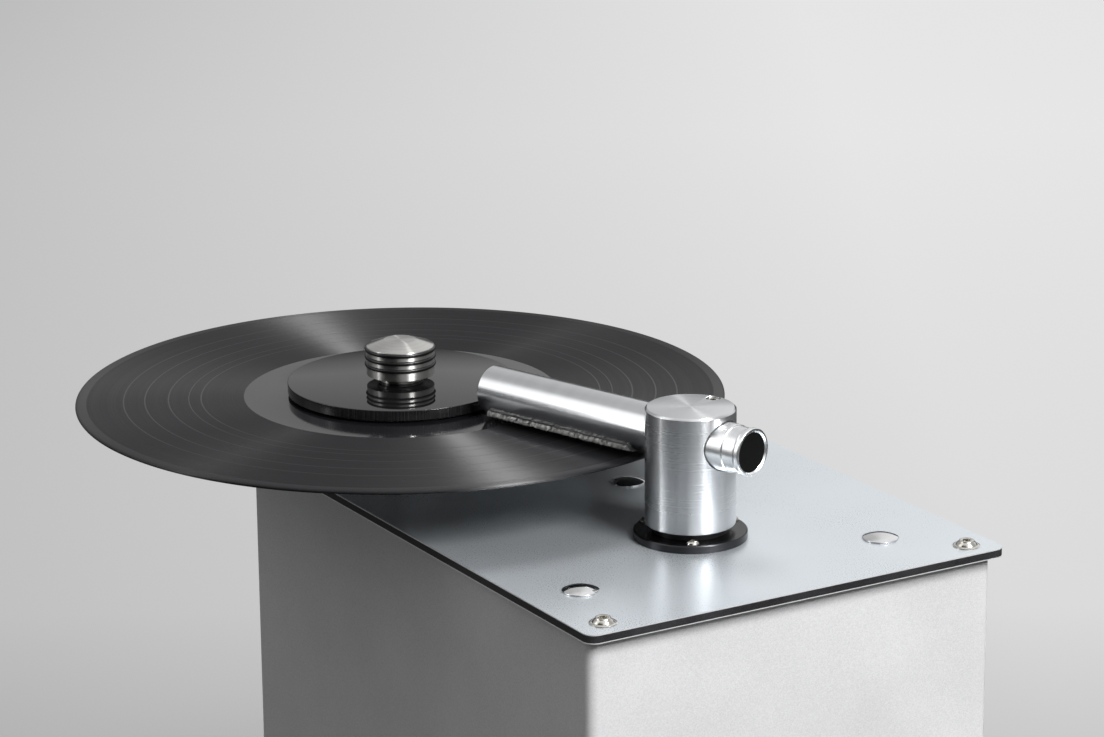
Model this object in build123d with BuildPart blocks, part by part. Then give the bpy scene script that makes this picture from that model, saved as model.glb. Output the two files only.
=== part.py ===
"""Record cleaning machine: a boxed turntable with a screw-down clamp and a swinging suction arm.

Millimetres, +Z up.  The floor is z = 0, and X = Y = 0 is the middle of the machine's outline,
with the record on it.  The front is at -Y and the sockets are at the back, at +Y.
"""
from build123d import *
from math import asin, cos, degrees, radians, sin
import os

# ---------------------------------------------------------------- record and turntable
RECORD_D = 301.6            # a twelve-inch record
RECORD_T = 1.8              # over the grooves
RECORD_HOLE_D = 7.24
BEAD_W = 4.8                # raised rim
BEAD_RISE = 0.1
LAND_D = 102.0              # raised land that carries the label
LAND_RISE = 0.5
LABEL_MARGIN = 1.0          # land left bare round the label
LABEL_T = 0.1
PLATTER_D = 180.0
PLATTER_T = 8.0
PLATTER_GAP = 20.9          # top panel to the platter's underside
MAT_D = 176.0
MAT_T = 2.0
SPINDLE_D = 10.0
SPINDLE_HUB_D = 15.0        # thick stretch through the top panel
SPINDLE_FLANGE_D = 34.0
SPINDLE_FLANGE_T = 4.0
SPINDLE_TIP_RISE = 17.3     # of the thin tip above the grooves
SPINDLE_TIP_CHAMFER = 0.8

# ---------------------------------------------------------------- clamp
CLAMP_D = 105.2
CLAMP_T = 5.0
PAD_D = 90.0
PAD_HOLE_D = 60.0
PAD_T = 0.7
KNOB_D = 31.6
KNOB_STEM_D = 15.8
KNOB_STEP_D = 20.4          # two small steps between the disc and the knob's body
KNOB_STEP_H = 1.5
KNOB_NECK_D = 22.0
KNOB_NECK_H = 2.8
KNOB_BODY_TOP = 16.2        # heights above the disc
KNOB_H = 19.05
KNOB_TOP_D = 14.8
KNOB_BORE_DEPTH = 13.0
RING_SECTION_D = 1.9        # rubber grip rings
RING_STAND_OUT = 0.8
RING_HEIGHTS = (7.7, 11.4, 15.0)
CLIP_D = 21.0
CLIP_T = 0.45
CLIP_GROOVE = 1.6

# ---------------------------------------------------------------- case
PLATE_W = 212.0
PLATE_L = 318.0
PLATE_CORNER_R = 5.5
CORE_T = 3.16               # black core between two bright skins
SKIN_T = 0.42
OVERHANG_SIDE = 3.5
OVERHANG_END = 6.0
SHEET_T = 1.5
FOLD_R = 4.5
WALL_H = 172.8
BASE_T = 2.0
FOOT_D = 30.0
FOOT_H = 12.0
FOOT_INSET = 30.0           # foot's middle from the case's sides and ends
FOOT_SINK = 7.0             # screw's seat inside the foot
FOOT_CHAMFER = 1.0
BLOCK_X = 17.0              # corner blocks that tie panels and base together
BLOCK_Y = 12.0
BLOCK_HOLE_INSET = 3.8      # hole from the block's outer face
REAR_SCREW_INSET = 25.0     # from the block's two ends

# ---------------------------------------------------------------- suction arm
ARM_ANGLE = 107.7           # direction from the post to the spindle
POST_D = 40.0
POST_RECORD_GAP = 4.0       # between the record's rim and the post
POST_OFF_LEFT = 1.8         # post's axis from the panel's middle
POST_OFF_FRONT = 72.8
POST_GAP = 3.0              # base ring to the post's bottom
POST_OVER_AXIS = 14.1       # post's top over the tube's axis
POST_CHAMFER = 0.9
BASE_RING_D = 50.4
BASE_RING_T = 3.5
BASE_SLEEVE_D = 32.0
BASE_RING_CHAMFER = 0.4
BASE_SCREW_INSET = 3.45     # from the ring's rim
BASE_SCREW_TO_FLANGE = 1.75
SWIVEL_D = 24.0
SWIVEL_WALL = 2.0
SPIGOT_WALL = 2.0
SPIGOT_L = 16.5
TUBE_D = 22.0
TUBE_WALL = 2.0
TUBE_TO_CLAMP = 5.8         # tube's inner end to the clamp disc
TUBE_TAIL = 8.0             # tube's end past the post's axis
TAIL_D = 21.4
TAIL_BORE_D = 17.8
TAIL_REACH = 34.7
TAIL_COLLAR_REACH = 25.5
TAIL_WAIST_D = 20.4
TAIL_LIP_T = 2.5
PLUG_T = 6.0
PLUG_RECESS = 0.8
SLOT_W = 3.0
SLOT_TO_END = 3.6           # slot's end to the tube's inner end
STRIP_T = 0.9
STRIP_TO_SLOT = 0.126
STRIP_FAR_ANGLE = 45.0      # from straight down
STRIP_CLEARANCE = 0.4       # over the record's rim
ARM_SCREW_INSET = 3.8       # screw in the post's top, from its rim
ARM_SCREW_ANGLE = 19.5
ARM_SCREW_SINK = 2.0
ARM_SCREW_L = 14.0

# ---------------------------------------------------------------- waste tank, hung under the arm
HANGER_OFFSETS = ((-78.2, -36.3), (68.5, -47.1), (17.1, 79.7))     # from the post's axis
HANGER_BUSH_D = 18.0
HANGER_BUSH_T = 6.0
CAP_D = 16.0
CAP_H = 2.2
CAP_WALL = 0.8
CAP_RIM_H = 0.5
LID_T = 4.0
LID_EAR_D = 24.0
TANK_W = 110.0
TANK_L = 90.0
TANK_H = 86.0
TANK_WALL = 3.0
TANK_CORNER_R = 8.0
PORT_D = 28.0
PORT_WALL = 3.0
PORT_L = 14.0
PORT_DROP = 20.0            # tank's top to the port's axis
DRAIN_D = 12.0
DRAIN_WALL = 2.0
DRAIN_PORT_L = 14.0

# ---------------------------------------------------------------- vacuum fan
PORT_INSET = 18.0           # port's axis from the tank's right side, over the fan's shaft
FAN_TO_BACK = 64.0          # from the rear panel's inside
FAN_D = 108.0
FAN_H = 40.0
FAN_WALL = 3.0
FAN_INLET_H = 12.0
FAN_MOTOR_D = 80.0
FAN_MOTOR_EDGE_R = 4.0
MOUNT_RING_T = 8.0
MOUNT_RING_WALL = 10.0
IMPELLER_TO_WALL = 4.0
IMPELLER_DISC_T = 2.0
IMPELLER_H = 24.0
IMPELLER_HUB_D = 24.0
IMPELLER_LIFT = 4.0         # disc over the housing's floor
VANE_T = 1.6
VANE_COUNT = 9
FAN_SHAFT_D = 8.0
FAN_SHAFT_DEPTH = 20.0
EXHAUST_D = 32.0
EXHAUST_GRILLE_D = 46.0
EXHAUST_GRILLE_T = 2.0
EXHAUST_SLOT_W = 2.4
EXHAUST_SLOT_PITCH = 5.0
HOSE_WALL = 2.5
HOSE_GRIP = 9.0             # hose over each port
SUCTION_BEND_R = 27.8

# ---------------------------------------------------------------- platter drive
HOUSING_FLANGE_D = 64.0
HOUSING_FLANGE_T = 4.0
HOUSING_D = 26.0
HOUSING_H = 36.0
BUSH_L = 10.0
BUSH_D = 16.0
COUPLING_GAP = 1.0          # bearing housing to coupling
STANDOFF_PCD = 48.0
STANDOFF_D = 7.0
BRACKET_D = 60.0
BRACKET_T = 3.0
GEARBOX_D = 37.0
GEARBOX_H = 25.0
MOTOR_D = 33.0
MOTOR_H = 45.0
COUPLING_D = 18.0
COUPLING_L = 22.0
COUPLING_TO_BRACKET = 5.0
MOTOR_SHAFT_D = 6.0

# ---------------------------------------------------------------- electrics
BOARD_W = 60.0
BOARD_L = 50.0
BOARD_T = 1.6
BOARD_LEFT_GAP = 8.0        # from the left wall
BOARD_BACK_GAP = 90.0       # from the rear panel
BOARD_STANDOFF_D = 6.0
BOARD_STANDOFF_H = 6.0
BOARD_HOLE_INSET = 5.0
INLET_X = -60.0             # from the case's middle
INLET_Z = 36.0              # above the base
INLET_W = 27.0
INLET_H = 19.6
INLET_DEPTH = 22.0
INLET_FLANGE = 2.5          # stands out all round, and is as thick
INLET_CAVITY_W = 24.2
INLET_CAVITY_H = 16.6
INLET_CAVITY_DEPTH = 16.5
BLADE_W = 2.0
BLADE_H = 4.0
BLADE_L = 11.0
BLADE_PITCH = 14.0
BLADE_EARTH_RISE = 3.0
SWITCH_SPACING = 40.0
SWITCH_X = -40.0            # middle of the pair, from the case's middle
SWITCH_Z = 40.0             # above the base
SWITCH_W = 13.0
SWITCH_H = 19.2
SWITCH_DEPTH = 14.0
SWITCH_BEZEL = 1.4          # stands out all round, and is as thick
SWITCH_WALL = 1.3
ROCKER_R = 7.9              # corners from the pivot
ROCKER_CORNER_ANGLE = 57.0
ROCKER_DIP = 2.2
ROCKER_BACK = 3.0
ROCKER_PIVOT_DEPTH = 2.0    # behind the bezel's face
ROCKER_PIN_D = 2.4
ROCKER_TILT = 11.0
DRAIN_Z = 36.0              # above the base
DRAIN_SPIGOT_L = 20.0
DRAIN_FLANGE_D = 22.0
DRAIN_FLANGE_T = 2.5
DRAIN_CAP_WALL = 2.0
DRAIN_CAP_L = 15.0
DRAIN_CAP_FLOOR = 2.0
DRAIN_CAP_CHAMFER = 0.6

# ---------------------------------------------------------------- fasteners and fits
M3_D, M4_D, M5_D, M6_D = 3.0, 4.0, 5.0, 6.0
THREAD_GRIP = 8.0           # screws' length in the pieces they are screwed into
PANEL_GRIP = 12.0           # the same for the top panel's own screws
HEAD_R = 1.0                # button heads' measures, as shares of the shank's diameter
FLANGED_HEAD_R = 1.18
HEAD_RIM_H = 0.12
HEAD_H = 0.55
DOME_R = 0.95
DOME_SHOULDER_R = 0.741
DOME_SHOULDER_H = 0.385
DOME_FLAT_R = 0.475
SOCKET_R = 0.34
SOCKET_DEPTH = 0.33
CONE_HEAD_H = 0.45          # countersunk heads, the same way
CONE_SOCKET_DEPTH = 0.2
BOLT_HEAD_R = 0.8           # thin hanger bolts' heads
SUNK_HEAD_R = 0.72          # cylinder head in the post's top
SUNK_BORE_R = 0.8
SUNK_SOCKET_R = 0.4
SUNK_HEAD_H = 0.375
SUNK_SOCKET_DEPTH = 0.25
FIT = 0.05                  # radial, shafts in bores and screws in holes
PANEL_FIT = 0.1             # beside the rear panel
SEAT_GAP = 0.3              # between pieces that pass one another
SLIM_GAP = 0.02             # under strips and rings bedded on a round face

# ---------------------------------------------------------------- places worked out from those
PLATE_T = CORE_T + 2 * SKIN_T
TOP_SCREW_L = PLATE_T + PANEL_GRIP
BASE_SCREW_L = BASE_T + THREAD_GRIP
CASE_SCREW_L = SHEET_T + THREAD_GRIP
HOUSING_SCREW_L = PLATE_T + HOUSING_FLANGE_T + THREAD_GRIP
BASE_TOP = FOOT_H + BASE_T
PLATE_BOTTOM = BASE_TOP + WALL_H
PLATE_TOP = PLATE_BOTTOM + PLATE_T
RECORD_R = RECORD_D / 2
ARM_DIR = Vector(cos(radians(ARM_ANGLE)), sin(radians(ARM_ANGLE)), 0)
POST_TO_SPINDLE = RECORD_R + POST_RECORD_GAP + POST_D / 2
SPINDLE_FROM_POST = ARM_DIR * POST_TO_SPINDLE
SPINDLE_X = (RECORD_R + SPINDLE_FROM_POST.X - POST_OFF_LEFT - PLATE_W / 2) / 2
SPINDLE_Y = (SPINDLE_FROM_POST.Y - POST_OFF_FRONT + PLATE_L / 2 - RECORD_R) / 2
POST_X = SPINDLE_X - SPINDLE_FROM_POST.X
POST_Y = SPINDLE_Y - SPINDLE_FROM_POST.Y
PLATE_X = POST_X + POST_OFF_LEFT
PLATE_Y = POST_Y + POST_OFF_FRONT
CASE_W = PLATE_W - 2 * OVERHANG_SIDE
CASE_L = PLATE_L - 2 * OVERHANG_END
FRONT_Y = PLATE_Y - CASE_L / 2
BACK_Y = PLATE_Y + CASE_L / 2
INSIDE_LEFT = PLATE_X - CASE_W / 2 + SHEET_T
INSIDE_BACK = BACK_Y - SHEET_T
SPINDLE = (SPINDLE_X, SPINDLE_Y)
POST = (POST_X, POST_Y)

GROOVE_Z = PLATE_TOP + PLATTER_GAP + PLATTER_T + MAT_T + RECORD_T
LABEL_D = LAND_D - 2 * LABEL_MARGIN
LABEL_Z = GROOVE_Z + LAND_RISE + LABEL_T
CLAMP_Z = LABEL_Z + PAD_T
KNOB_Z = CLAMP_Z + CLAMP_T
STRIP_R = TUBE_D / 2 + STRIP_T
ARM_Z = GROOVE_Z + BEAD_RISE + STRIP_CLEARANCE + STRIP_R
TUBE_REACH = POST_TO_SPINDLE - CLAMP_D / 2 - TUBE_TO_CLAMP      # both from the post's axis
SLOT_START = POST_D / 2 + POST_RECORD_GAP + BEAD_W
SLOT_L = TUBE_REACH - SLOT_TO_END - SLOT_START
STRIP_NEAR_ANGLE = degrees(asin((SLOT_W / 2 + STRIP_TO_SLOT) / (TUBE_D / 2)))
BASE_SCREW_PCD = BASE_RING_D - 2 * BASE_SCREW_INSET
SWIVEL_FLANGE_D = BASE_SCREW_PCD - 2 * HEAD_R * M3_D - 2 * BASE_SCREW_TO_FLANGE
RING_TOP = PLATE_TOP + BASE_RING_T
POST_BOTTOM = RING_TOP + POST_GAP
POST_TOP = ARM_Z + POST_OVER_AXIS
LID_TOP = PLATE_BOTTOM - HANGER_BUSH_T
TANK_TOP = LID_TOP - LID_T
HOUSING_BOTTOM = PLATE_BOTTOM - HOUSING_FLANGE_T - HOUSING_H
COUPLING_TOP = HOUSING_BOTTOM - COUPLING_GAP
SPINDLE_BOTTOM = COUPLING_TOP - COUPLING_L / 2
BRACKET_TOP = COUPLING_TOP - COUPLING_L - COUPLING_TO_BRACKET
FAN_CENTRE = (POST_X + TANK_W / 2 - PORT_INSET, INSIDE_BACK - FAN_TO_BACK)
PORT_Z = TANK_TOP - PORT_DROP
PORT_Y = POST_Y + TANK_L / 2
FAN_INLET_TOP = PORT_Z - SUCTION_BEND_R
FAN_TOP = FAN_INLET_TOP - FAN_INLET_H
FAN_MOTOR_TOP = FAN_TOP - FAN_H
EXHAUST_Z = FAN_MOTOR_TOP + FAN_H / 2
IMPELLER_D = FAN_D - 2 * FAN_WALL - 2 * IMPELLER_TO_WALL
TANK_BOTTOM = TANK_TOP - TANK_H
DRAIN_X = (SPINDLE_X + GEARBOX_D / 2 + FAN_CENTRE[0] - FAN_MOTOR_D / 2) / 2     # between the motors
DRAIN_PLACE = (DRAIN_X, BASE_TOP + DRAIN_Z)
INLET_PLACE = (PLATE_X + INLET_X, BASE_TOP + INLET_Z)
SWITCH_PLACES = [(PLATE_X + SWITCH_X + side * SWITCH_SPACING / 2, BASE_TOP + SWITCH_Z)
                 for side in (-1, 1)]
HANGERS = [(POST_X + dx, POST_Y + dy) for dx, dy in HANGER_OFFSETS]
BLOCK_FROM_MIDDLE_X = CASE_W / 2 - SHEET_T - BLOCK_X / 2
BLOCK_FROM_MIDDLE_Y = CASE_L / 2 - SHEET_T - BLOCK_Y / 2
BLOCKS = [(PLATE_X + sx * BLOCK_FROM_MIDDLE_X, PLATE_Y + sy * BLOCK_FROM_MIDDLE_Y, sy)
          for sx in (-1, 1) for sy in (-1, 1)]
BLOCK_HOLES = [(x, y + sy * (BLOCK_Y / 2 - BLOCK_HOLE_INSET)) for x, y, sy in BLOCKS]
FEET = [(PLATE_X + sx * (CASE_W / 2 - FOOT_INSET), PLATE_Y + sy * (CASE_L / 2 - FOOT_INSET))
        for sx in (-1, 1) for sy in (-1, 1)]
REAR_SCREWS = [(x, z) for x, _, sy in BLOCKS if sy > 0
               for z in (BASE_TOP + REAR_SCREW_INSET, PLATE_BOTTOM - REAR_SCREW_INSET)]
STANDOFFS = [(SPINDLE_X + STANDOFF_PCD / 2 * cos(radians(a)), SPINDLE_Y + STANDOFF_PCD / 2 * sin(radians(a)))
             for a in (45, 135, 225, 315)]
BASE_SCREWS = [(POST_X + BASE_SCREW_PCD / 2 * cos(radians(a)), POST_Y + BASE_SCREW_PCD / 2 * sin(radians(a)))
               for a in (0, 120, 240)]
BOARD_CENTRE = (INSIDE_LEFT + BOARD_LEFT_GAP + BOARD_W / 2, INSIDE_BACK - BOARD_BACK_GAP - BOARD_L / 2)
BOARD_HOLES = [(BOARD_CENTRE[0] + sx * (BOARD_W / 2 - BOARD_HOLE_INSET),
                BOARD_CENTRE[1] + sy * (BOARD_L / 2 - BOARD_HOLE_INSET)) for sx in (-1, 1) for sy in (-1, 1)]
FRONT = Plane.XZ.offset(-FRONT_Y)           # outer faces of the case, both with their normal to -Y
BACK = Plane.XZ.offset(-BACK_Y)
ARM_SIDE = Vector(ARM_DIR.Y, -ARM_DIR.X, 0)
ARM_SECTION = Plane(origin=(POST_X, POST_Y, ARM_Z), x_dir=ARM_SIDE, z_dir=ARM_DIR)     # its y is down

os.makedirs("parts", exist_ok=True)


def save(part, label):
    """Name a finished piece and write its file."""
    part.label = label
    export_step(part, f"parts/{label}.step")


def ring(outer_d, inner_d, bottom, height, centre):
    """Upright ring or tube."""
    with BuildPart() as body:
        with BuildSketch(Plane.XY.offset(bottom)):
            with Locations(centre):
                Circle(outer_d / 2)
                Circle(inner_d / 2, mode=Mode.SUBTRACT)
        extrude(amount=height)
    return body.part


def disc(diameter, bottom, height, centre):
    """Upright solid cylinder."""
    with BuildPart() as body:
        with BuildSketch(Plane.XY.offset(bottom)):
            with Locations(centre):
                Circle(diameter / 2)
        extrude(amount=height)
    return body.part


def button_screw(shank_d, length, flanged=False):
    """Domed socket screw, head up, seated on z = 0."""
    head_r = (FLANGED_HEAD_R if flanged else HEAD_R) * shank_d
    head_h = HEAD_H * shank_d
    rim_h = HEAD_RIM_H * shank_d
    dome_foot = (DOME_R * shank_d, rim_h)
    dome_shoulder = (DOME_SHOULDER_R * shank_d, DOME_SHOULDER_H * shank_d)
    dome_top = (DOME_FLAT_R * shank_d, head_h)
    with BuildPart() as screw:
        with BuildSketch(Plane.XZ):
            with BuildLine():
                Polyline((0, 0), (head_r, 0), (head_r, rim_h), dome_foot)
                ThreePointArc(dome_foot, dome_shoulder, dome_top)
                Polyline(dome_top, (0, head_h), (0, 0))
            make_face()
        revolve(axis=Axis.Z)
        with BuildSketch():
            Circle(shank_d / 2)
        extrude(amount=-length)
        with BuildSketch(Plane.XY.offset(head_h)):
            RegularPolygon(SOCKET_R * shank_d, 6)
        extrude(amount=-SOCKET_DEPTH * shank_d, mode=Mode.SUBTRACT)
    return screw.part


def countersunk_screw(shank_d, length):
    """Flat-headed screw, its face flush with z = 0."""
    head_h = CONE_HEAD_H * shank_d
    with BuildPart() as screw:
        with BuildSketch(Plane.XZ):
            with BuildLine():
                Polyline((0, 0), (shank_d / 2 + head_h, 0), (shank_d / 2, -head_h),
                         (shank_d / 2, -length), (0, -length), (0, 0))
            make_face()
        revolve(axis=Axis.Z)
        with BuildSketch():
            RegularPolygon(SOCKET_R * shank_d, 6)
        extrude(amount=-CONE_SOCKET_DEPTH * shank_d, mode=Mode.SUBTRACT)
    return screw.part


def group(piece, places):
    """Copies of one piece as separate solids."""
    with BuildPart() as copies:
        with Locations(*places):
            add(piece)
    return copies.part


def folded_outline(width, length, shift, fold_r):
    """Rectangle about the case's middle, moved back by shift, with rounded front corners."""
    with BuildSketch() as sheet:
        with Locations((PLATE_X, PLATE_Y + shift)):
            corners = Rectangle(width, length)
            fillet(corners.vertices().group_by(Axis.Y)[0], fold_r)
    return sheet.sketch


CASE_OUTLINE = folded_outline(CASE_W, CASE_L, 0, FOLD_R)
ROOM_OUTLINE = folded_outline(CASE_W - 2 * SHEET_T, CASE_L - SHEET_T, SHEET_T / 2, FOLD_R - SHEET_T)


# ================================================================ case
def top_layer(bottom, thickness):
    """One layer of the bonded top panel, with every hole that goes through it."""
    with BuildPart() as layer:
        with BuildSketch(Plane.XY.offset(bottom)):
            with Locations((PLATE_X, PLATE_Y)):
                RectangleRounded(PLATE_W, PLATE_L, PLATE_CORNER_R)
            with Locations(SPINDLE):
                Circle(SPINDLE_HUB_D / 2 + SEAT_GAP, mode=Mode.SUBTRACT)
            with Locations(POST):
                Circle(BASE_SLEEVE_D / 2 + FIT, mode=Mode.SUBTRACT)
            with Locations(*BASE_SCREWS):
                Circle(M3_D / 2 + FIT, mode=Mode.SUBTRACT)
            with Locations(*HANGERS):
                Circle(M6_D / 2 + FIT, mode=Mode.SUBTRACT)
            with Locations(*STANDOFFS):
                Circle(M4_D / 2 + FIT, mode=Mode.SUBTRACT)
            with Locations(*BLOCK_HOLES):
                Circle(M5_D / 2 + FIT, mode=Mode.SUBTRACT)
        extrude(amount=thickness)
    return layer.part


save(top_layer(PLATE_BOTTOM + SKIN_T, CORE_T), "top_panel_core")
save(group(top_layer(0, SKIN_T), [(0, 0, PLATE_BOTTOM), (0, 0, PLATE_TOP - SKIN_T)]), "top_panel_skins")

save(group(button_screw(M5_D, TOP_SCREW_L, flanged=True), [(x, y, PLATE_TOP) for x, y in BLOCK_HOLES]),
     "top_panel_screws")

# Left, front and right walls: one sheet folded at the two front corners.
with BuildPart() as case_wrap:
    with BuildSketch(Plane.XY.offset(BASE_TOP)):
        add(CASE_OUTLINE)
        add(ROOM_OUTLINE, mode=Mode.SUBTRACT)
    extrude(amount=WALL_H)
    with BuildSketch(FRONT):
        with Locations(*SWITCH_PLACES):
            Rectangle(SWITCH_W + 2 * PANEL_FIT, SWITCH_H + 2 * PANEL_FIT)
    extrude(amount=-SHEET_T, mode=Mode.SUBTRACT)
save(case_wrap.part, "case_wrap")

with BuildPart() as rear_panel:
    with BuildSketch(BACK):
        with Locations((PLATE_X, BASE_TOP + WALL_H / 2)):
            Rectangle(CASE_W - 2 * SHEET_T - 2 * PANEL_FIT, WALL_H)
        with Locations(INLET_PLACE):
            Rectangle(INLET_W + 2 * PANEL_FIT, INLET_H + 2 * PANEL_FIT, mode=Mode.SUBTRACT)
        with Locations(DRAIN_PLACE):
            Circle(DRAIN_D / 2 + FIT, mode=Mode.SUBTRACT)
        with Locations((FAN_CENTRE[0], EXHAUST_Z)):
            Circle(EXHAUST_D / 2, mode=Mode.SUBTRACT)
        with Locations(*REAR_SCREWS):
            Circle(M4_D / 2 + FIT, mode=Mode.SUBTRACT)
    extrude(amount=SHEET_T)
save(rear_panel.part, "rear_panel")

# The rear panel and the feet take the same screws.
with BuildPart() as case_screws:
    with Locations(*[Location((x, BACK_Y, z), (-90, 0, 0)) for x, z in REAR_SCREWS],
                   *[Location((x, y, FOOT_SINK), (180, 0, 0)) for x, y in FEET]):
        add(button_screw(M4_D, CASE_SCREW_L))
save(case_screws.part, "case_screws")

with BuildPart() as base_plate:
    with BuildSketch(Plane.XY.offset(FOOT_H)):
        add(CASE_OUTLINE)
        with Locations(*FEET, *BOARD_HOLES):
            Circle(M4_D / 2 + FIT, mode=Mode.SUBTRACT)
    extrude(amount=BASE_T)
    with Locations(*[Location((x, y, FOOT_H), (180, 0, 0)) for x, y in BLOCK_HOLES]):
        CounterSinkHole(M4_D / 2 + FIT, M4_D / 2 + CONE_HEAD_H * M4_D + FIT, BASE_T)
save(base_plate.part, "base_plate")

with BuildPart() as base_screws:
    with Locations(*[Location((x, y, FOOT_H), (180, 0, 0)) for x, y in BLOCK_HOLES]):
        add(countersunk_screw(M4_D, BASE_SCREW_L))
save(base_screws.part, "base_screws")

with BuildPart() as corner_blocks:
    with BuildSketch(Plane.XY.offset(BASE_TOP)):
        with Locations(*[(x, y) for x, y, _ in BLOCKS]):
            Rectangle(BLOCK_X, BLOCK_Y)
        add(ROOM_OUTLINE, mode=Mode.INTERSECT)
    extrude(amount=WALL_H)
    with BuildSketch(Plane.XY.offset(PLATE_BOTTOM)):
        with Locations(*BLOCK_HOLES):
            Circle(M5_D / 2 + FIT)
    extrude(amount=PLATE_T - TOP_SCREW_L, mode=Mode.SUBTRACT)
    with BuildSketch(Plane.XY.offset(BASE_TOP)):
        with Locations(*BLOCK_HOLES):
            Circle(M4_D / 2 + FIT)
    extrude(amount=BASE_SCREW_L - BASE_T, mode=Mode.SUBTRACT)
    with BuildSketch(BACK):
        with Locations(*REAR_SCREWS):
            Circle(M4_D / 2 + FIT)
    extrude(amount=CASE_SCREW_L, mode=Mode.SUBTRACT)
save(corner_blocks.part, "corner_blocks")

with BuildPart() as feet:
    with BuildSketch():
        with Locations(*FEET):
            Circle(FOOT_D / 2)
    extrude(amount=FOOT_H)
    chamfer(feet.edges().group_by(Axis.Z)[0], FOOT_CHAMFER)
    with Locations(*[Location((x, y, 0), (180, 0, 0)) for x, y in FEET]):
        CounterBoreHole(M4_D / 2 + FIT, HEAD_R * M4_D + SEAT_GAP, FOOT_SINK, FOOT_H)
save(feet.part, "feet")

# ================================================================ platter and its drive
with BuildPart() as spindle:
    with BuildSketch(Plane.XY.offset(SPINDLE_BOTTOM)):
        with Locations(SPINDLE):
            Circle(SPINDLE_D / 2)
    extrude(amount=GROOVE_Z - RECORD_T - MAT_T - SPINDLE_BOTTOM)
    with BuildSketch(Plane.XY.offset(PLATE_BOTTOM)):
        with Locations(SPINDLE):
            Circle(SPINDLE_HUB_D / 2)
    extrude(amount=PLATE_T + PLATTER_GAP - SPINDLE_FLANGE_T)
    with BuildSketch(Plane.XY.offset(PLATE_TOP + PLATTER_GAP)):
        with Locations(SPINDLE):
            Circle(SPINDLE_FLANGE_D / 2)
    extrude(amount=-SPINDLE_FLANGE_T)
    with BuildSketch(Plane.XY.offset(GROOVE_Z - RECORD_T - MAT_T)):
        with Locations(SPINDLE):
            Circle(RECORD_HOLE_D / 2 - FIT)
    extrude(amount=MAT_T + RECORD_T + SPINDLE_TIP_RISE)
    chamfer(spindle.edges().group_by(Axis.Z)[-1], SPINDLE_TIP_CHAMFER)
save(spindle.part, "spindle")

save(ring(PLATTER_D, SPINDLE_D + 2 * FIT, PLATE_TOP + PLATTER_GAP, PLATTER_T, SPINDLE), "platter")

# The mat is cut away in the middle, so that the record's raised land hangs free in it.
with BuildPart() as platter_mat:
    with BuildSketch(Plane.XY.offset(GROOVE_Z - RECORD_T)):
        with Locations(SPINDLE):
            Circle(MAT_D / 2)
            Circle(RECORD_HOLE_D / 2 + SEAT_GAP, mode=Mode.SUBTRACT)
    extrude(amount=-MAT_T)
    with BuildSketch(Plane.XY.offset(GROOVE_Z - RECORD_T)):
        with Locations(SPINDLE):
            Circle(LAND_D / 2 + SEAT_GAP)
    extrude(amount=-LAND_RISE, mode=Mode.SUBTRACT)
save(platter_mat.part, "platter_mat")

with BuildPart() as record:
    with BuildSketch(Plane.XY.offset(GROOVE_Z - RECORD_T)):
        with Locations(SPINDLE):
            Circle(RECORD_R)
    extrude(amount=RECORD_T)
    for level, rise in ((GROOVE_Z, BEAD_RISE), (GROOVE_Z - RECORD_T, -BEAD_RISE)):
        with BuildSketch(Plane.XY.offset(level)):
            with Locations(SPINDLE):
                Circle(RECORD_R)
                Circle(RECORD_R - BEAD_W, mode=Mode.SUBTRACT)
        extrude(amount=rise)
    for level, rise in ((GROOVE_Z, LAND_RISE), (GROOVE_Z - RECORD_T, -LAND_RISE)):
        with BuildSketch(Plane.XY.offset(level)):
            with Locations(SPINDLE):
                Circle(LAND_D / 2)
        extrude(amount=rise)
    with Locations((SPINDLE_X, SPINDLE_Y, GROOVE_Z + LAND_RISE)):
        Hole(RECORD_HOLE_D / 2)
save(record.part, "record")

save(ring(LABEL_D, RECORD_HOLE_D, GROOVE_Z + LAND_RISE, LABEL_T, SPINDLE), "record_label")

with BuildPart() as bearing_housing:
    with BuildSketch(Plane.XY.offset(PLATE_BOTTOM)):
        with Locations(SPINDLE):
            Circle(HOUSING_FLANGE_D / 2)
        with Locations(*STANDOFFS):
            Circle(M4_D / 2 + FIT, mode=Mode.SUBTRACT)
    extrude(amount=-HOUSING_FLANGE_T)
    with BuildSketch(Plane.XY.offset(HOUSING_BOTTOM)):
        with Locations(SPINDLE):
            Circle(HOUSING_D / 2)
    extrude(amount=HOUSING_H)
    with Locations((SPINDLE_X, SPINDLE_Y, PLATE_BOTTOM)):
        Hole(BUSH_D / 2 + FIT)
save(bearing_housing.part, "bearing_housing")

spindle_bush = ring(BUSH_D, SPINDLE_D + 2 * FIT, 0, BUSH_L, (0, 0))
save(group(spindle_bush, [(*SPINDLE, HOUSING_BOTTOM), (*SPINDLE, PLATE_BOTTOM - BUSH_L)]), "spindle_bushes")

STANDOFF_TOP = PLATE_BOTTOM - HOUSING_FLANGE_T
with BuildPart() as motor_standoffs:
    with BuildSketch(Plane.XY.offset(BRACKET_TOP)):
        with Locations(*STANDOFFS):
            Circle(STANDOFF_D / 2)
    extrude(amount=STANDOFF_TOP - BRACKET_TOP)
    with BuildSketch(Plane.XY.offset(STANDOFF_TOP)):
        with Locations(*STANDOFFS):
            Circle(M4_D / 2 + FIT)
    extrude(amount=PLATE_T + HOUSING_FLANGE_T - HOUSING_SCREW_L, mode=Mode.SUBTRACT)
save(motor_standoffs.part, "motor_standoffs")

save(group(button_screw(M4_D, HOUSING_SCREW_L), [(x, y, PLATE_TOP) for x, y in STANDOFFS]),
     "bearing_screws")

save(ring(BRACKET_D, COUPLING_D, BRACKET_TOP - BRACKET_T, BRACKET_T, SPINDLE), "motor_bracket")

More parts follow.
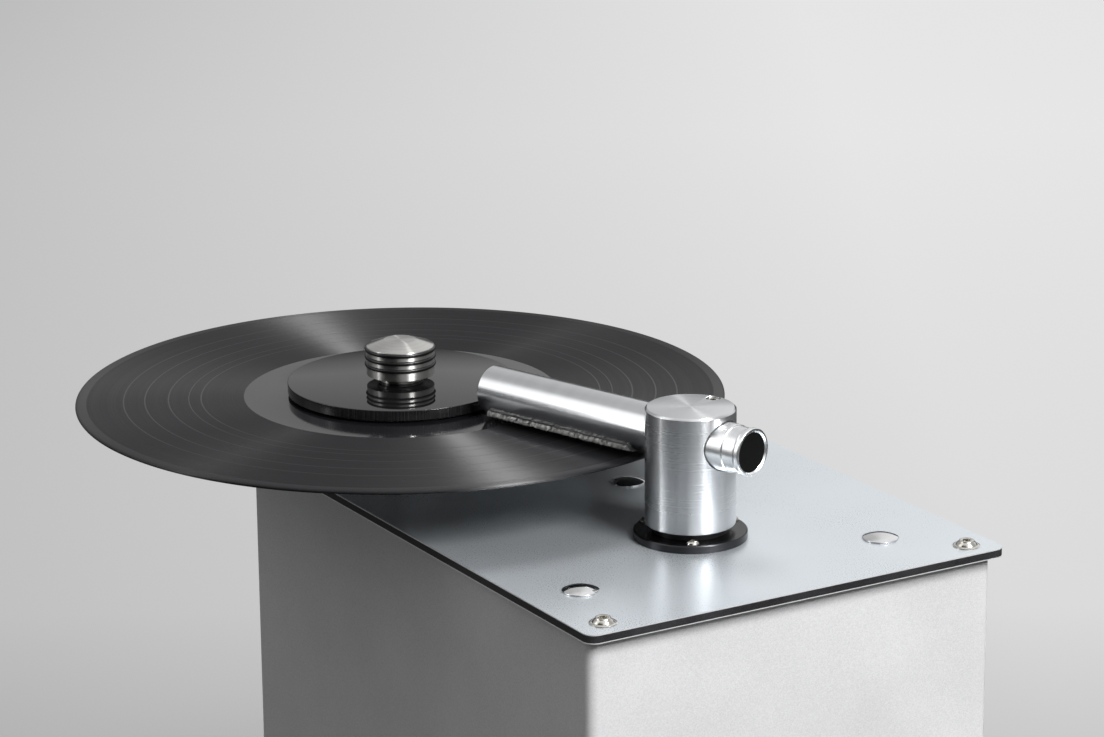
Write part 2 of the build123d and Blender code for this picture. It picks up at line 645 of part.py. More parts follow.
GEARBOX_TOP = BRACKET_TOP - BRACKET_T
with BuildPart() as gearbox_case:
    with BuildSketch(Plane.XY.offset(GEARBOX_TOP)):
        with Locations(SPINDLE):
            Circle(GEARBOX_D / 2)
    extrude(amount=-GEARBOX_H)
    with BuildSketch(Plane.XY.offset(GEARBOX_TOP)):
        with Locations(SPINDLE):
            Circle(MOTOR_SHAFT_D / 2 + FIT)
    extrude(amount=-GEARBOX_H / 2, mode=Mode.SUBTRACT)
save(gearbox_case.part, "gearbox_case")

save(disc(MOTOR_D, GEARBOX_TOP - GEARBOX_H - MOTOR_H, MOTOR_H, SPINDLE), "platter_motor")

# Split bore: the spindle's tail goes in from above and the motor's shaft from below.
with BuildPart() as shaft_coupling:
    with BuildSketch(Plane.XY.offset(COUPLING_TOP)):
        with Locations(SPINDLE):
            Circle(COUPLING_D / 2)
    extrude(amount=-COUPLING_L)
    with BuildSketch(Plane.XY.offset(COUPLING_TOP)):
        with Locations(SPINDLE):
            Circle(SPINDLE_D / 2 + FIT)
    extrude(amount=SPINDLE_BOTTOM - COUPLING_TOP, mode=Mode.SUBTRACT)
    with BuildSketch(Plane.XY.offset(COUPLING_TOP - COUPLING_L)):
        with Locations(SPINDLE):
            Circle(MOTOR_SHAFT_D / 2 + FIT)
    extrude(amount=COUPLING_L / 2, mode=Mode.SUBTRACT)
save(shaft_coupling.part, "shaft_coupling")

save(disc(MOTOR_SHAFT_D, GEARBOX_TOP - GEARBOX_H / 2, SPINDLE_BOTTOM - GEARBOX_TOP + GEARBOX_H / 2, SPINDLE),
     "gearbox_shaft")

# ================================================================ clamp
save(ring(CLAMP_D, KNOB_STEM_D + 2 * FIT, CLAMP_Z, CLAMP_T, SPINDLE), "clamp_disc")
save(ring(PAD_D, PAD_HOLE_D, LABEL_Z, PAD_T, SPINDLE), "clamp_pad")

CLIP_TOP = CLAMP_Z - FIT
STEM_BOTTOM = CLIP_TOP - CLIP_T
CLIP_SEAT_D = KNOB_STEM_D - 2 * CLIP_GROOVE
RING_R = KNOB_D / 2 + RING_STAND_OUT - RING_SECTION_D / 2
KNOB_AXIS = Axis((*SPINDLE, 0), (0, 0, 1))
KNOB_SECTION = Plane(origin=(*SPINDLE, KNOB_Z), x_dir=(1, 0, 0), z_dir=(0, -1, 0))
with BuildPart() as clamp_knob:
    with BuildSketch(KNOB_SECTION):
        with BuildLine():
            Polyline(
                (0, KNOB_H), (KNOB_TOP_D / 2, KNOB_H), (KNOB_D / 2, KNOB_BODY_TOP),
                (KNOB_D / 2, KNOB_NECK_H), (KNOB_NECK_D / 2, KNOB_NECK_H), (KNOB_NECK_D / 2, KNOB_STEP_H),
                (KNOB_STEP_D / 2, KNOB_STEP_H), (KNOB_STEP_D / 2, 0), (KNOB_STEM_D / 2, 0),
                (KNOB_STEM_D / 2, CLIP_TOP - KNOB_Z), (CLIP_SEAT_D / 2, CLIP_TOP - KNOB_Z),
                (CLIP_SEAT_D / 2, STEM_BOTTOM - KNOB_Z), (0, STEM_BOTTOM - KNOB_Z), (0, KNOB_H))
        make_face()
    revolve(axis=KNOB_AXIS)
    with BuildSketch(KNOB_SECTION):
        with Locations(*[(RING_R, height) for height in RING_HEIGHTS]):
            Circle(RING_SECTION_D / 2 + SLIM_GAP)
    revolve(axis=KNOB_AXIS, mode=Mode.SUBTRACT)
    with BuildSketch(Plane.XY.offset(STEM_BOTTOM)):
        with Locations(SPINDLE):
            Circle(RECORD_HOLE_D / 2)
    extrude(amount=KNOB_Z + KNOB_BORE_DEPTH - STEM_BOTTOM, mode=Mode.SUBTRACT)
save(clamp_knob.part, "clamp_knob")

with BuildPart() as knob_rings:
    with BuildSketch(KNOB_SECTION):
        with Locations(*[(RING_R, height) for height in RING_HEIGHTS]):
            Circle(RING_SECTION_D / 2)
    revolve(axis=KNOB_AXIS)
save(knob_rings.part, "knob_rings")

save(ring(CLIP_D, CLIP_SEAT_D + 2 * FIT, STEM_BOTTOM, CLIP_T, SPINDLE), "clamp_clip")

# ================================================================ suction arm
with BuildPart() as arm_base_bush:
    with BuildSketch(Plane.XY.offset(PLATE_TOP)):
        with Locations(POST):
            Circle(BASE_RING_D / 2)
        with Locations(*BASE_SCREWS):
            Circle(M3_D / 2 + FIT, mode=Mode.SUBTRACT)
    extrude(amount=BASE_RING_T)
    chamfer(arm_base_bush.faces().sort_by(Axis.Z)[-1].edges().sort_by(SortBy.LENGTH)[-1], BASE_RING_CHAMFER)
    with BuildSketch(Plane.XY.offset(LID_TOP)):
        with Locations(POST):
            Circle(BASE_SLEEVE_D / 2)
    extrude(amount=PLATE_TOP - LID_TOP)
    with Locations((*POST, RING_TOP)):
        Hole(SWIVEL_D / 2 + FIT)
save(arm_base_bush.part, "arm_base_bush")

save(group(button_screw(M3_D, BASE_RING_T + PLATE_T), [(x, y, RING_TOP) for x, y in BASE_SCREWS]),
     "arm_base_screws")

with BuildPart() as arm_swivel:
    with BuildSketch(Plane.XY.offset(RING_TOP)):
        with Locations(POST):
            Circle(SWIVEL_FLANGE_D / 2)
    extrude(amount=POST_GAP)
    with BuildSketch(Plane.XY.offset(TANK_TOP)):
        with Locations(POST):
            Circle(SWIVEL_D / 2)
    extrude(amount=RING_TOP - TANK_TOP)
    with Locations((*POST, POST_BOTTOM)):
        Hole(SWIVEL_D / 2 - SWIVEL_WALL)
save(arm_swivel.part, "arm_swivel")

SPIGOT_D = SWIVEL_D - 2 * SWIVEL_WALL - 2 * FIT
ARM_SCREW_R = POST_D / 2 - ARM_SCREW_INSET
ARM_SCREW_PLACE = (POST_X + ARM_SCREW_R * cos(radians(ARM_SCREW_ANGLE)),
                   POST_Y + ARM_SCREW_R * sin(radians(ARM_SCREW_ANGLE)))
ARM_SCREW_HEAD_Z = POST_TOP - ARM_SCREW_SINK + SUNK_HEAD_H * M4_D
with BuildPart() as arm_post:
    with BuildSketch(Plane.XY.offset(POST_BOTTOM)):
        with Locations(POST):
            Circle(POST_D / 2)
    extrude(amount=POST_TOP - POST_BOTTOM)
    chamfer(arm_post.edges().group_by(Axis.Z)[-1], POST_CHAMFER)
    with BuildSketch(Plane.XY.offset(POST_BOTTOM)):
        with Locations(POST):
            Circle(SPIGOT_D / 2)
    extrude(amount=-SPIGOT_L)
    with BuildSketch(Plane.XY.offset(POST_BOTTOM - SPIGOT_L)):
        with Locations(POST):
            Circle(SPIGOT_D / 2 - SPIGOT_WALL)
    extrude(amount=ARM_Z - POST_BOTTOM + SPIGOT_L, mode=Mode.SUBTRACT)
    with BuildSketch(ARM_SECTION.offset(-TUBE_TAIL)):
        Circle(TUBE_D / 2 + FIT)
    extrude(amount=TUBE_TAIL + POST_D / 2, mode=Mode.SUBTRACT)
    with BuildSketch(ARM_SECTION.offset(-TUBE_TAIL)):
        Circle(TAIL_D / 2 + FIT)
    extrude(amount=-POST_D / 2, mode=Mode.SUBTRACT)
    with Locations((*ARM_SCREW_PLACE, POST_TOP)):
        CounterBoreHole(M4_D / 2 + FIT, SUNK_BORE_R * M4_D, ARM_SCREW_SINK, ARM_SCREW_SINK + ARM_SCREW_L)
save(arm_post.part, "arm_post")

# Plain cylinder head with a socket, sunk in the post's top.
with BuildPart() as arm_screw:
    with BuildSketch(Plane.XY.offset(POST_TOP - ARM_SCREW_SINK)):
        with Locations(ARM_SCREW_PLACE):
            Circle(M4_D / 2)
    extrude(amount=-ARM_SCREW_L)
    with BuildSketch(Plane.XY.offset(POST_TOP - ARM_SCREW_SINK)):
        with Locations(ARM_SCREW_PLACE):
            Circle(SUNK_HEAD_R * M4_D)
    extrude(amount=SUNK_HEAD_H * M4_D)
    with BuildSketch(Plane.XY.offset(ARM_SCREW_HEAD_Z)):
        with Locations(ARM_SCREW_PLACE):
            RegularPolygon(SUNK_SOCKET_R * M4_D, 6)
    extrude(amount=-SUNK_SOCKET_DEPTH * M4_D, mode=Mode.SUBTRACT)
save(arm_screw.part, "arm_screw")

SLOT_MIDDLE = SLOT_START + SLOT_L / 2
with BuildPart() as arm_tube:
    with BuildSketch(ARM_SECTION.offset(-TUBE_TAIL)):
        Circle(TUBE_D / 2)
        Circle(TUBE_D / 2 - TUBE_WALL, mode=Mode.SUBTRACT)
    extrude(amount=TUBE_TAIL + TUBE_REACH)
    with BuildSketch(Plane(origin=(*POST, ARM_Z), x_dir=ARM_DIR, z_dir=(0, 0, -1))):
        with Locations((SLOT_MIDDLE, 0)):
            SlotOverall(SLOT_L, SLOT_W)
        Circle(SPIGOT_D / 2 - SPIGOT_WALL)
    extrude(amount=TUBE_D, mode=Mode.SUBTRACT)
save(arm_tube.part, "arm_tube")

# Plush strips either side of the slot, wrapped round the tube's underside.
WEDGE_R = 2 * STRIP_R
with BuildPart() as velvet_strips:
    for side in (-1, 1):
        near, far = [(side * WEDGE_R * sin(radians(a)), WEDGE_R * cos(radians(a)))
                     for a in (STRIP_NEAR_ANGLE, STRIP_FAR_ANGLE)]
        with BuildSketch(ARM_SECTION.offset(SLOT_START)):
            Polygon((0, 0), near, far, align=None)
            Circle(STRIP_R, mode=Mode.INTERSECT)
            Circle(TUBE_D / 2 + SLIM_GAP, mode=Mode.SUBTRACT)
        extrude(amount=SLOT_L)
save(velvet_strips.part, "velvet_strips")

with BuildPart() as arm_tail:
    with BuildSketch(ARM_SECTION.offset(-TUBE_TAIL)):
        Circle(TAIL_D / 2)
    extrude(amount=TUBE_TAIL - TAIL_COLLAR_REACH)
    with BuildSketch(ARM_SECTION.offset(-TAIL_COLLAR_REACH)):
        Circle(TAIL_WAIST_D / 2)
    extrude(amount=TAIL_COLLAR_REACH - TAIL_REACH)
    with BuildSketch(ARM_SECTION.offset(-TAIL_REACH)):
        Circle(TAIL_D / 2)
    extrude(amount=TAIL_LIP_T)
    with BuildSketch(ARM_SECTION.offset(-TAIL_REACH)):
        Circle(TAIL_BORE_D / 2)
    extrude(amount=TAIL_REACH - TUBE_TAIL, mode=Mode.SUBTRACT)
save(arm_tail.part, "arm_tail")

with BuildPart() as arm_plugs:
    with BuildSketch(ARM_SECTION.offset(TUBE_REACH - PLUG_RECESS)):
        Circle(TUBE_D / 2 - TUBE_WALL - FIT)
    extrude(amount=-PLUG_T)
    with BuildSketch(ARM_SECTION.offset(-TAIL_REACH + PLUG_RECESS)):
        Circle(TAIL_BORE_D / 2 - FIT)
    extrude(amount=PLUG_T)
save(arm_plugs.part, "arm_plugs")

# ================================================================ waste tank
HANGER_L = PLATE_T + HANGER_BUSH_T + LID_T
HANGER_HEAD_H = CAP_H - CAP_WALL - SEAT_GAP
with BuildPart() as hanger_bolts:
    with BuildSketch(Plane.XY.offset(PLATE_TOP)):
        with Locations(*HANGERS):
            Circle(M6_D / 2)
    extrude(amount=-HANGER_L)
    with BuildSketch(Plane.XY.offset(PLATE_TOP)):
        with Locations(*HANGERS):
            Circle(BOLT_HEAD_R * M6_D)
    extrude(amount=HANGER_HEAD_H)
save(hanger_bolts.part, "hanger_bolts")

# Domed covers over the bolts' heads: a spherical shell on a thin rim.
CAP_DOME_H = CAP_H - CAP_RIM_H
CAP_DOME_R = ((CAP_D / 2) ** 2 / CAP_DOME_H + CAP_DOME_H) / 2
with BuildPart() as cap_shape:
    with BuildSketch(Plane.XZ):
        with BuildLine():
            Line((0, 0), (CAP_D / 2, 0))
            Line((CAP_D / 2, 0), (CAP_D / 2, CAP_RIM_H))
            RadiusArc((CAP_D / 2, CAP_RIM_H), (0, CAP_H), -CAP_DOME_R)
            Line((0, CAP_H), (0, 0))
        make_face()
    revolve(axis=Axis.Z)
    with BuildSketch():
        Circle(BOLT_HEAD_R * M6_D + SEAT_GAP)
    extrude(amount=HANGER_HEAD_H, mode=Mode.SUBTRACT)
save(group(cap_shape.part, [(x, y, PLATE_TOP) for x, y in HANGERS]), "cover_caps")

hanger_bush = ring(HANGER_BUSH_D, M6_D + 2 * FIT, 0, HANGER_BUSH_T, (0, 0))
save(group(hanger_bush, [(x, y, LID_TOP) for x, y in HANGERS]), "hanger_bushes")

with BuildPart() as tank_lid:
    with BuildSketch(Plane.XY.offset(TANK_TOP)):
        with Locations(*HANGERS):
            Circle(LID_EAR_D / 2)
        with Locations(POST):
            Rectangle(TANK_W, TANK_L)
        make_hull()
        with Locations(*HANGERS):
            Circle(M6_D / 2 + FIT, mode=Mode.SUBTRACT)
        with Locations(POST):
            Circle(SWIVEL_D / 2 + SEAT_GAP, mode=Mode.SUBTRACT)
    extrude(amount=LID_T)
save(tank_lid.part, "tank_lid")

DRAIN_CENTRE = (DRAIN_PLACE[0], POST_Y)
with BuildPart() as waste_tank:
    with BuildSketch(Plane.XY.offset(TANK_BOTTOM)):
        with Locations(POST):
            RectangleRounded(TANK_W, TANK_L, TANK_CORNER_R)
    extrude(amount=TANK_H)
    with BuildSketch(Plane.XZ.offset(-PORT_Y)):
        with Locations((FAN_CENTRE[0], PORT_Z)):
            Circle(PORT_D / 2)
    extrude(amount=-PORT_L)
    with BuildSketch(Plane.XY.offset(TANK_BOTTOM)):
        with Locations(DRAIN_CENTRE):
            Circle(DRAIN_D / 2)
    extrude(amount=-DRAIN_PORT_L)
    with BuildSketch(Plane.XY.offset(TANK_BOTTOM + TANK_WALL)):
        with Locations(POST):
            RectangleRounded(TANK_W - 2 * TANK_WALL, TANK_L - 2 * TANK_WALL, TANK_CORNER_R - TANK_WALL)
    extrude(amount=TANK_H - TANK_WALL, mode=Mode.SUBTRACT)
    with BuildSketch(Plane.XZ.offset(-PORT_Y + TANK_WALL)):
        with Locations((FAN_CENTRE[0], PORT_Z)):
            Circle(PORT_D / 2 - PORT_WALL)
    extrude(amount=-PORT_L - TANK_WALL, mode=Mode.SUBTRACT)
    with BuildSketch(Plane.XY.offset(TANK_BOTTOM + TANK_WALL)):
        with Locations(DRAIN_CENTRE):
            Circle(DRAIN_D / 2 - DRAIN_WALL)
    extrude(amount=-DRAIN_PORT_L - TANK_WALL, mode=Mode.SUBTRACT)
save(waste_tank.part, "waste_tank")


def bent_hose(start, corner, end, bend_r, bore_d):
    """Hose of two straight runs and one bend."""
    path = FilletPolyline(start, corner, end, radius=bend_r)
    run = Vector(*corner) - Vector(*start)
    with BuildPart() as hose:
        with BuildLine():
            add(path)
        with BuildSketch(Plane(origin=start, z_dir=run)):
            Circle(bore_d / 2 + HOSE_WALL)
            Circle(bore_d / 2, mode=Mode.SUBTRACT)
        sweep()
    return hose.part


PORT_END_Y = PORT_Y + PORT_L
save(bent_hose((FAN_CENTRE[0], PORT_END_Y - HOSE_GRIP, PORT_Z), (*FAN_CENTRE, PORT_Z),
               (*FAN_CENTRE, FAN_INLET_TOP - HOSE_GRIP), SUCTION_BEND_R, PORT_D + 2 * FIT), "suction_hose")
DRAIN_PORT_END = TANK_BOTTOM - DRAIN_PORT_L
save(bent_hose((*DRAIN_CENTRE, DRAIN_PORT_END + HOSE_GRIP), (*DRAIN_CENTRE, DRAIN_PLACE[1]),
               (DRAIN_PLACE[0], INSIDE_BACK - DRAIN_SPIGOT_L + HOSE_GRIP, DRAIN_PLACE[1]),
               DRAIN_PORT_END - DRAIN_PLACE[1], DRAIN_D + 2 * FIT), "drain_hose")

with BuildPart() as drain_spigot:
    with BuildSketch(BACK.offset(DRAIN_SPIGOT_L + SHEET_T)):
        with Locations(DRAIN_PLACE):
            Circle(DRAIN_D / 2)
    extrude(amount=-2 * DRAIN_SPIGOT_L - SHEET_T)
    with BuildSketch(BACK):
        with Locations(DRAIN_PLACE):
            Circle(DRAIN_FLANGE_D / 2)
    extrude(amount=-DRAIN_FLANGE_T)
    with BuildSketch(BACK.offset(DRAIN_SPIGOT_L + SHEET_T)):
        with Locations(DRAIN_PLACE):
            Circle(DRAIN_D / 2 - DRAIN_WALL)
    extrude(amount=-2 * DRAIN_SPIGOT_L - SHEET_T, mode=Mode.SUBTRACT)
save(drain_spigot.part, "drain_spigot")

with BuildPart() as drain_cap:
    with BuildSketch(BACK.offset(-DRAIN_SPIGOT_L - DRAIN_CAP_FLOOR)):
        with Locations(DRAIN_PLACE):
            Circle(DRAIN_D / 2 + FIT + DRAIN_CAP_WALL)
    extrude(amount=DRAIN_CAP_L)
    chamfer(drain_cap.edges().group_by(Axis.Y)[-1], DRAIN_CAP_CHAMFER)
    with BuildSketch(BACK.offset(-DRAIN_SPIGOT_L)):
        with Locations(DRAIN_PLACE):
            Circle(DRAIN_D / 2 + FIT)
    extrude(amount=DRAIN_CAP_L - DRAIN_CAP_FLOOR, mode=Mode.SUBTRACT)
save(drain_cap.part, "drain_cap")

# ================================================================ vacuum fan
with BuildPart() as fan_motor:
    with BuildSketch(Plane.XY.offset(BASE_TOP + MOUNT_RING_T)):
        with Locations(FAN_CENTRE):
            Circle(FAN_MOTOR_D / 2)
    extrude(amount=FAN_MOTOR_TOP - BASE_TOP - MOUNT_RING_T)
    fillet(fan_motor.edges().group_by(Axis.Z)[0], FAN_MOTOR_EDGE_R)
    with BuildSketch(Plane.XY.offset(FAN_MOTOR_TOP)):
        with Locations(FAN_CENTRE):
            Circle(FAN_SHAFT_D / 2 + FIT)
    extrude(amount=-FAN_SHAFT_DEPTH, mode=Mode.SUBTRACT)
save(fan_motor.part, "fan_motor")

MOUNT_RING_D = FAN_MOTOR_D - MOUNT_RING_WALL
save(ring(MOUNT_RING_D, MOUNT_RING_D - 2 * MOUNT_RING_WALL, BASE_TOP, MOUNT_RING_T, FAN_CENTRE),
     "fan_mount_ring")

with BuildPart() as fan_housing:
    with BuildSketch(Plane.XY.offset(FAN_MOTOR_TOP)):
        with Locations(FAN_CENTRE):
            Circle(FAN_D / 2)
    extrude(amount=FAN_H)
    with BuildSketch(Plane.XY.offset(FAN_TOP)):
        with Locations(FAN_CENTRE):
            Circle(PORT_D / 2)
    extrude(amount=FAN_INLET_H)
    with BuildSketch(Plane.XZ.offset(-INSIDE_BACK)):
        with Locations((FAN_CENTRE[0], EXHAUST_Z)):
            Circle(EXHAUST_D / 2)
    extrude(amount=FAN_TO_BACK)
    with BuildSketch(Plane.XY.offset(FAN_MOTOR_TOP + FAN_WALL)):
        with Locations(FAN_CENTRE):
            Circle(FAN_D / 2 - FAN_WALL)
    extrude(amount=FAN_H - 2 * FAN_WALL, mode=Mode.SUBTRACT)
    with BuildSketch(Plane.XZ.offset(-INSIDE_BACK)):
        with Locations((FAN_CENTRE[0], EXHAUST_Z)):
            Circle(EXHAUST_D / 2 - FAN_WALL)
    extrude(amount=FAN_TO_BACK, mode=Mode.SUBTRACT)
    with BuildSketch(Plane.XY.offset(FAN_INLET_TOP)):
        with Locations(FAN_CENTRE):
            Circle(PORT_D / 2 - PORT_WALL)
    extrude(amount=-FAN_INLET_H - 2 * FAN_WALL, mode=Mode.SUBTRACT)
    with BuildSketch(Plane.XY.offset(FAN_MOTOR_TOP)):
        with Locations(FAN_CENTRE):
            Circle(FAN_SHAFT_D / 2 + SEAT_GAP)
    extrude(amount=FAN_WALL, mode=Mode.SUBTRACT)
save(fan_housing.part, "fan_housing")

IMPELLER_Z = FAN_MOTOR_TOP + FAN_WALL + IMPELLER_LIFT
VANE_L = (IMPELLER_D - IMPELLER_HUB_D) / 2
with BuildPart() as impeller:
    with BuildSketch(Plane.XY.offset(IMPELLER_Z)):
        with Locations(FAN_CENTRE):
            Circle(IMPELLER_D / 2)
    extrude(amount=IMPELLER_DISC_T)
    with BuildSketch(Plane.XY.offset(IMPELLER_Z)):
        with Locations(FAN_CENTRE):
            Circle(IMPELLER_HUB_D / 2)
            with PolarLocations(IMPELLER_HUB_D / 2 + VANE_L / 2 - VANE_T, VANE_COUNT):
                Rectangle(VANE_L, VANE_T)
    extrude(amount=IMPELLER_H)
    with BuildSketch(Plane.XY.offset(IMPELLER_Z)):
        with Locations(FAN_CENTRE):
            Circle(FAN_SHAFT_D / 2)
    extrude(amount=FAN_MOTOR_TOP - IMPELLER_Z - FAN_SHAFT_DEPTH)
save(impeller.part, "impeller")

GRILLE_SLOTS = int((EXHAUST_D - EXHAUST_SLOT_PITCH) / EXHAUST_SLOT_PITCH)
with BuildPart() as exhaust_grille:
    with BuildSketch(BACK):
        with Locations((FAN_CENTRE[0], EXHAUST_Z)):
            Circle(EXHAUST_GRILLE_D / 2)
            with GridLocations(0, EXHAUST_SLOT_PITCH, 1, GRILLE_SLOTS):
                SlotOverall(EXHAUST_D - 2 * EXHAUST_SLOT_PITCH, EXHAUST_SLOT_W, mode=Mode.SUBTRACT)
    extrude(amount=-EXHAUST_GRILLE_T)
save(exhaust_grille.part, "exhaust_grille")

# ================================================================ electrics
BOARD_Z = BASE_TOP + BOARD_STANDOFF_H
board_standoff = ring(BOARD_STANDOFF_D, M3_D, 0, BOARD_STANDOFF_H, (0, 0))
save(group(board_standoff, [(x, y, BASE_TOP) for x, y in BOARD_HOLES]), "board_standoffs")

with BuildPart() as power_board:
    with BuildSketch(Plane.XY.offset(BOARD_Z)):
        with Locations(BOARD_CENTRE):
            Rectangle(BOARD_W, BOARD_L)
        with Locations(*BOARD_HOLES):
            Circle(M3_D / 2, mode=Mode.SUBTRACT)
    extrude(amount=BOARD_T)
save(power_board.part, "power_board")

TRANSFORMER = (26.0, 22.0, 20.0)
RELAY = (16.0, 12.0, 15.0)
CAPACITOR_D, CAPACITOR_H = 12.0, 20.0
BOARD_PART_Z = BOARD_Z + BOARD_T
with BuildPart() as board_parts:
    with BuildSketch(Plane.XY.offset(BOARD_PART_Z)):
        with Locations((BOARD_CENTRE[0] - BOARD_W / 6, BOARD_CENTRE[1])):
            Rectangle(TRANSFORMER[0], TRANSFORMER[1])
    extrude(amount=TRANSFORMER[2])
    with BuildSketch(Plane.XY.offset(BOARD_PART_Z)):
        with Locations((BOARD_CENTRE[0] + BOARD_W / 4, BOARD_CENTRE[1] - BOARD_L / 6)):
            Rectangle(RELAY[0], RELAY[1])
    extrude(amount=RELAY[2])
    with BuildSketch(Plane.XY.offset(BOARD_PART_Z)):
        with Locations((BOARD_CENTRE[0] + BOARD_W / 4, BOARD_CENTRE[1] + BOARD_L / 5)):
            Circle(CAPACITOR_D / 2)
    extrude(amount=CAPACITOR_H)
save(board_parts.part, "board_parts")

with BuildPart() as mains_inlet:
    with BuildSketch(BACK):
        with Locations(INLET_PLACE):
            RectangleRounded(INLET_W + 2 * INLET_FLANGE, INLET_H + 2 * INLET_FLANGE, INLET_FLANGE)
    extrude(amount=-INLET_FLANGE)
    with BuildSketch(BACK):
        with Locations(INLET_PLACE):
            Rectangle(INLET_W, INLET_H)
    extrude(amount=INLET_DEPTH)
    with BuildSketch(BACK.offset(-INLET_FLANGE)):
        with Locations(INLET_PLACE):
            Rectangle(INLET_CAVITY_W, INLET_CAVITY_H)
    extrude(amount=INLET_CAVITY_DEPTH, mode=Mode.SUBTRACT)
save(mains_inlet.part, "mains_inlet")

BLADE_ROW_Z = INLET_PLACE[1] - BLADE_EARTH_RISE / 2
BLADES = [(INLET_PLACE[0] - BLADE_PITCH / 2, BLADE_ROW_Z), (INLET_PLACE[0] + BLADE_PITCH / 2, BLADE_ROW_Z),
          (INLET_PLACE[0], INLET_PLACE[1] + BLADE_EARTH_RISE)]
with BuildPart() as inlet_blades:
    with BuildSketch(BACK.offset(-INLET_FLANGE + INLET_CAVITY_DEPTH)):
        with Locations(*BLADES):
            Rectangle(BLADE_W, BLADE_H)
    extrude(amount=-BLADE_L)
save(inlet_blades.part, "inlet_blades")

PIVOT_Y = FRONT_Y - SWITCH_BEZEL + ROCKER_PIVOT_DEPTH
with BuildPart() as switch_housings:
    with BuildSketch(FRONT):
        with Locations(*SWITCH_PLACES):
            Rectangle(SWITCH_W + 2 * SWITCH_BEZEL, SWITCH_H + 2 * SWITCH_BEZEL)
    extrude(amount=SWITCH_BEZEL)
    with BuildSketch(FRONT):
        with Locations(*SWITCH_PLACES):
            Rectangle(SWITCH_W, SWITCH_H)
    extrude(amount=-SWITCH_DEPTH)
    with BuildSketch(FRONT.offset(SWITCH_BEZEL)):
        with Locations(*SWITCH_PLACES):
            Rectangle(SWITCH_W - 2 * SWITCH_WALL, SWITCH_H - 2 * SWITCH_WALL)
    extrude(amount=SWITCH_WALL - SWITCH_BEZEL - SWITCH_DEPTH, mode=Mode.SUBTRACT)
    for x, z in SWITCH_PLACES:
        with BuildSketch(Plane.YZ.offset(x - SWITCH_W / 2)):
            with Locations((PIVOT_Y, z)):
                Circle(ROCKER_PIN_D / 2 + FIT)
        extrude(amount=SWITCH_W, mode=Mode.SUBTRACT)
save(switch_housings.part, "switch_housings")


def rocker(place, tilt):
    """Rocker on its cross pin, turned by its rest tilt about the pin."""
    x, z = place
    half = SWITCH_W / 2 - SWITCH_WALL - SEAT_GAP
    corner = (-ROCKER_R * cos(radians(ROCKER_CORNER_ANGLE)), ROCKER_R * sin(radians(ROCKER_CORNER_ANGLE)))
    with BuildPart() as body:
        with BuildSketch(Plane.YZ.offset(x - half)):
            with Locations((PIVOT_Y, z)):
                Polygon(corner, (-ROCKER_DIP, 0), (corner[0], -corner[1]), (ROCKER_BACK, -corner[1]),
                        (ROCKER_BACK, corner[1]), rotation=tilt, align=None)
        extrude(amount=2 * half)
        with BuildSketch(Plane.YZ.offset(x - SWITCH_W / 2)):
            with Locations((PIVOT_Y, z)):
                Circle(ROCKER_PIN_D / 2)
        extrude(amount=SWITCH_W)
    return body.part


save(rocker(SWITCH_PLACES[0], 0), "direction_rocker")
save(rocker(SWITCH_PLACES[1], ROCKER_TILT), "vacuum_rocker")
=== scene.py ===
"""Record cleaning machine: finishes, turned parts, fasteners, velvet strips and a plain studio."""

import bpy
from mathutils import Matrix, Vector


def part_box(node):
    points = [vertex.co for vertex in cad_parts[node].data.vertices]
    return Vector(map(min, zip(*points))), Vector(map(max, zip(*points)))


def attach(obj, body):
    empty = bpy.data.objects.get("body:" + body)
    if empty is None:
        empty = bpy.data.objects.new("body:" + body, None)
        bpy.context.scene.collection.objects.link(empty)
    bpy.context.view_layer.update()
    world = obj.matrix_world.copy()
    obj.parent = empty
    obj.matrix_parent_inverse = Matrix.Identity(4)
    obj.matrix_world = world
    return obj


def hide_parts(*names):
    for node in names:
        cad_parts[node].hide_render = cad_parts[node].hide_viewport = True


bl_info = {
    "name": "Record cleaning machine",
    "version": (1, 0, 0),
    "blender": (4, 5, 0),
    "location": "3D View > Sidebar > Cleaning machine",
    "description": "Dresses a record cleaning machine: vinyl, clamp, suction arm, panels and fasteners",
    "category": "Object",
}

import math

import bmesh
import bpy
from bpy.props import FloatProperty, FloatVectorProperty, IntProperty, PointerProperty
from bpy.types import Operator, Panel, PropertyGroup
from mathutils import Matrix, Vector

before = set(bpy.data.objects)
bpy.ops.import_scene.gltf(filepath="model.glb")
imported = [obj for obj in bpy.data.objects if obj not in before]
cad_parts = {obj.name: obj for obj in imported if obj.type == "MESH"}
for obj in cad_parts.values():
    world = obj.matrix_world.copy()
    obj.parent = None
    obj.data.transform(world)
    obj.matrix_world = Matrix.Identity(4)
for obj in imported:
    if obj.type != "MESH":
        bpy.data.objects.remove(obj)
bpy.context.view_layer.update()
MM = 0.001
UP = Vector((0, 0, 1))
SAME_POINT = 0.0005 * MM

MATH = "ShaderNodeMath"
VECTOR = "ShaderNodeVectorMath"
RANGE = "ShaderNodeMapRange"
MIX = "ShaderNodeMix"
NOISE = "ShaderNodeTexNoise"
BUMP = "ShaderNodeBump"
NOISE_SPAN = {"From Min": 0.35, "From Max": 0.65}   # noise seldom leaves this range


def mm(value):
    """Metres to millimetres, rounded for use as a default."""
    return round(value / MM, 3)


def middle(node):
    low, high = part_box(node)
    return (low + high) / 2


def half_width(node):
    low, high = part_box(node)
    return mm((high.x - low.x) / 2)


def heights(node):
    """A solid's lowest and highest z in millimetres."""
    return tuple(mm(corner.z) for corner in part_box(node))


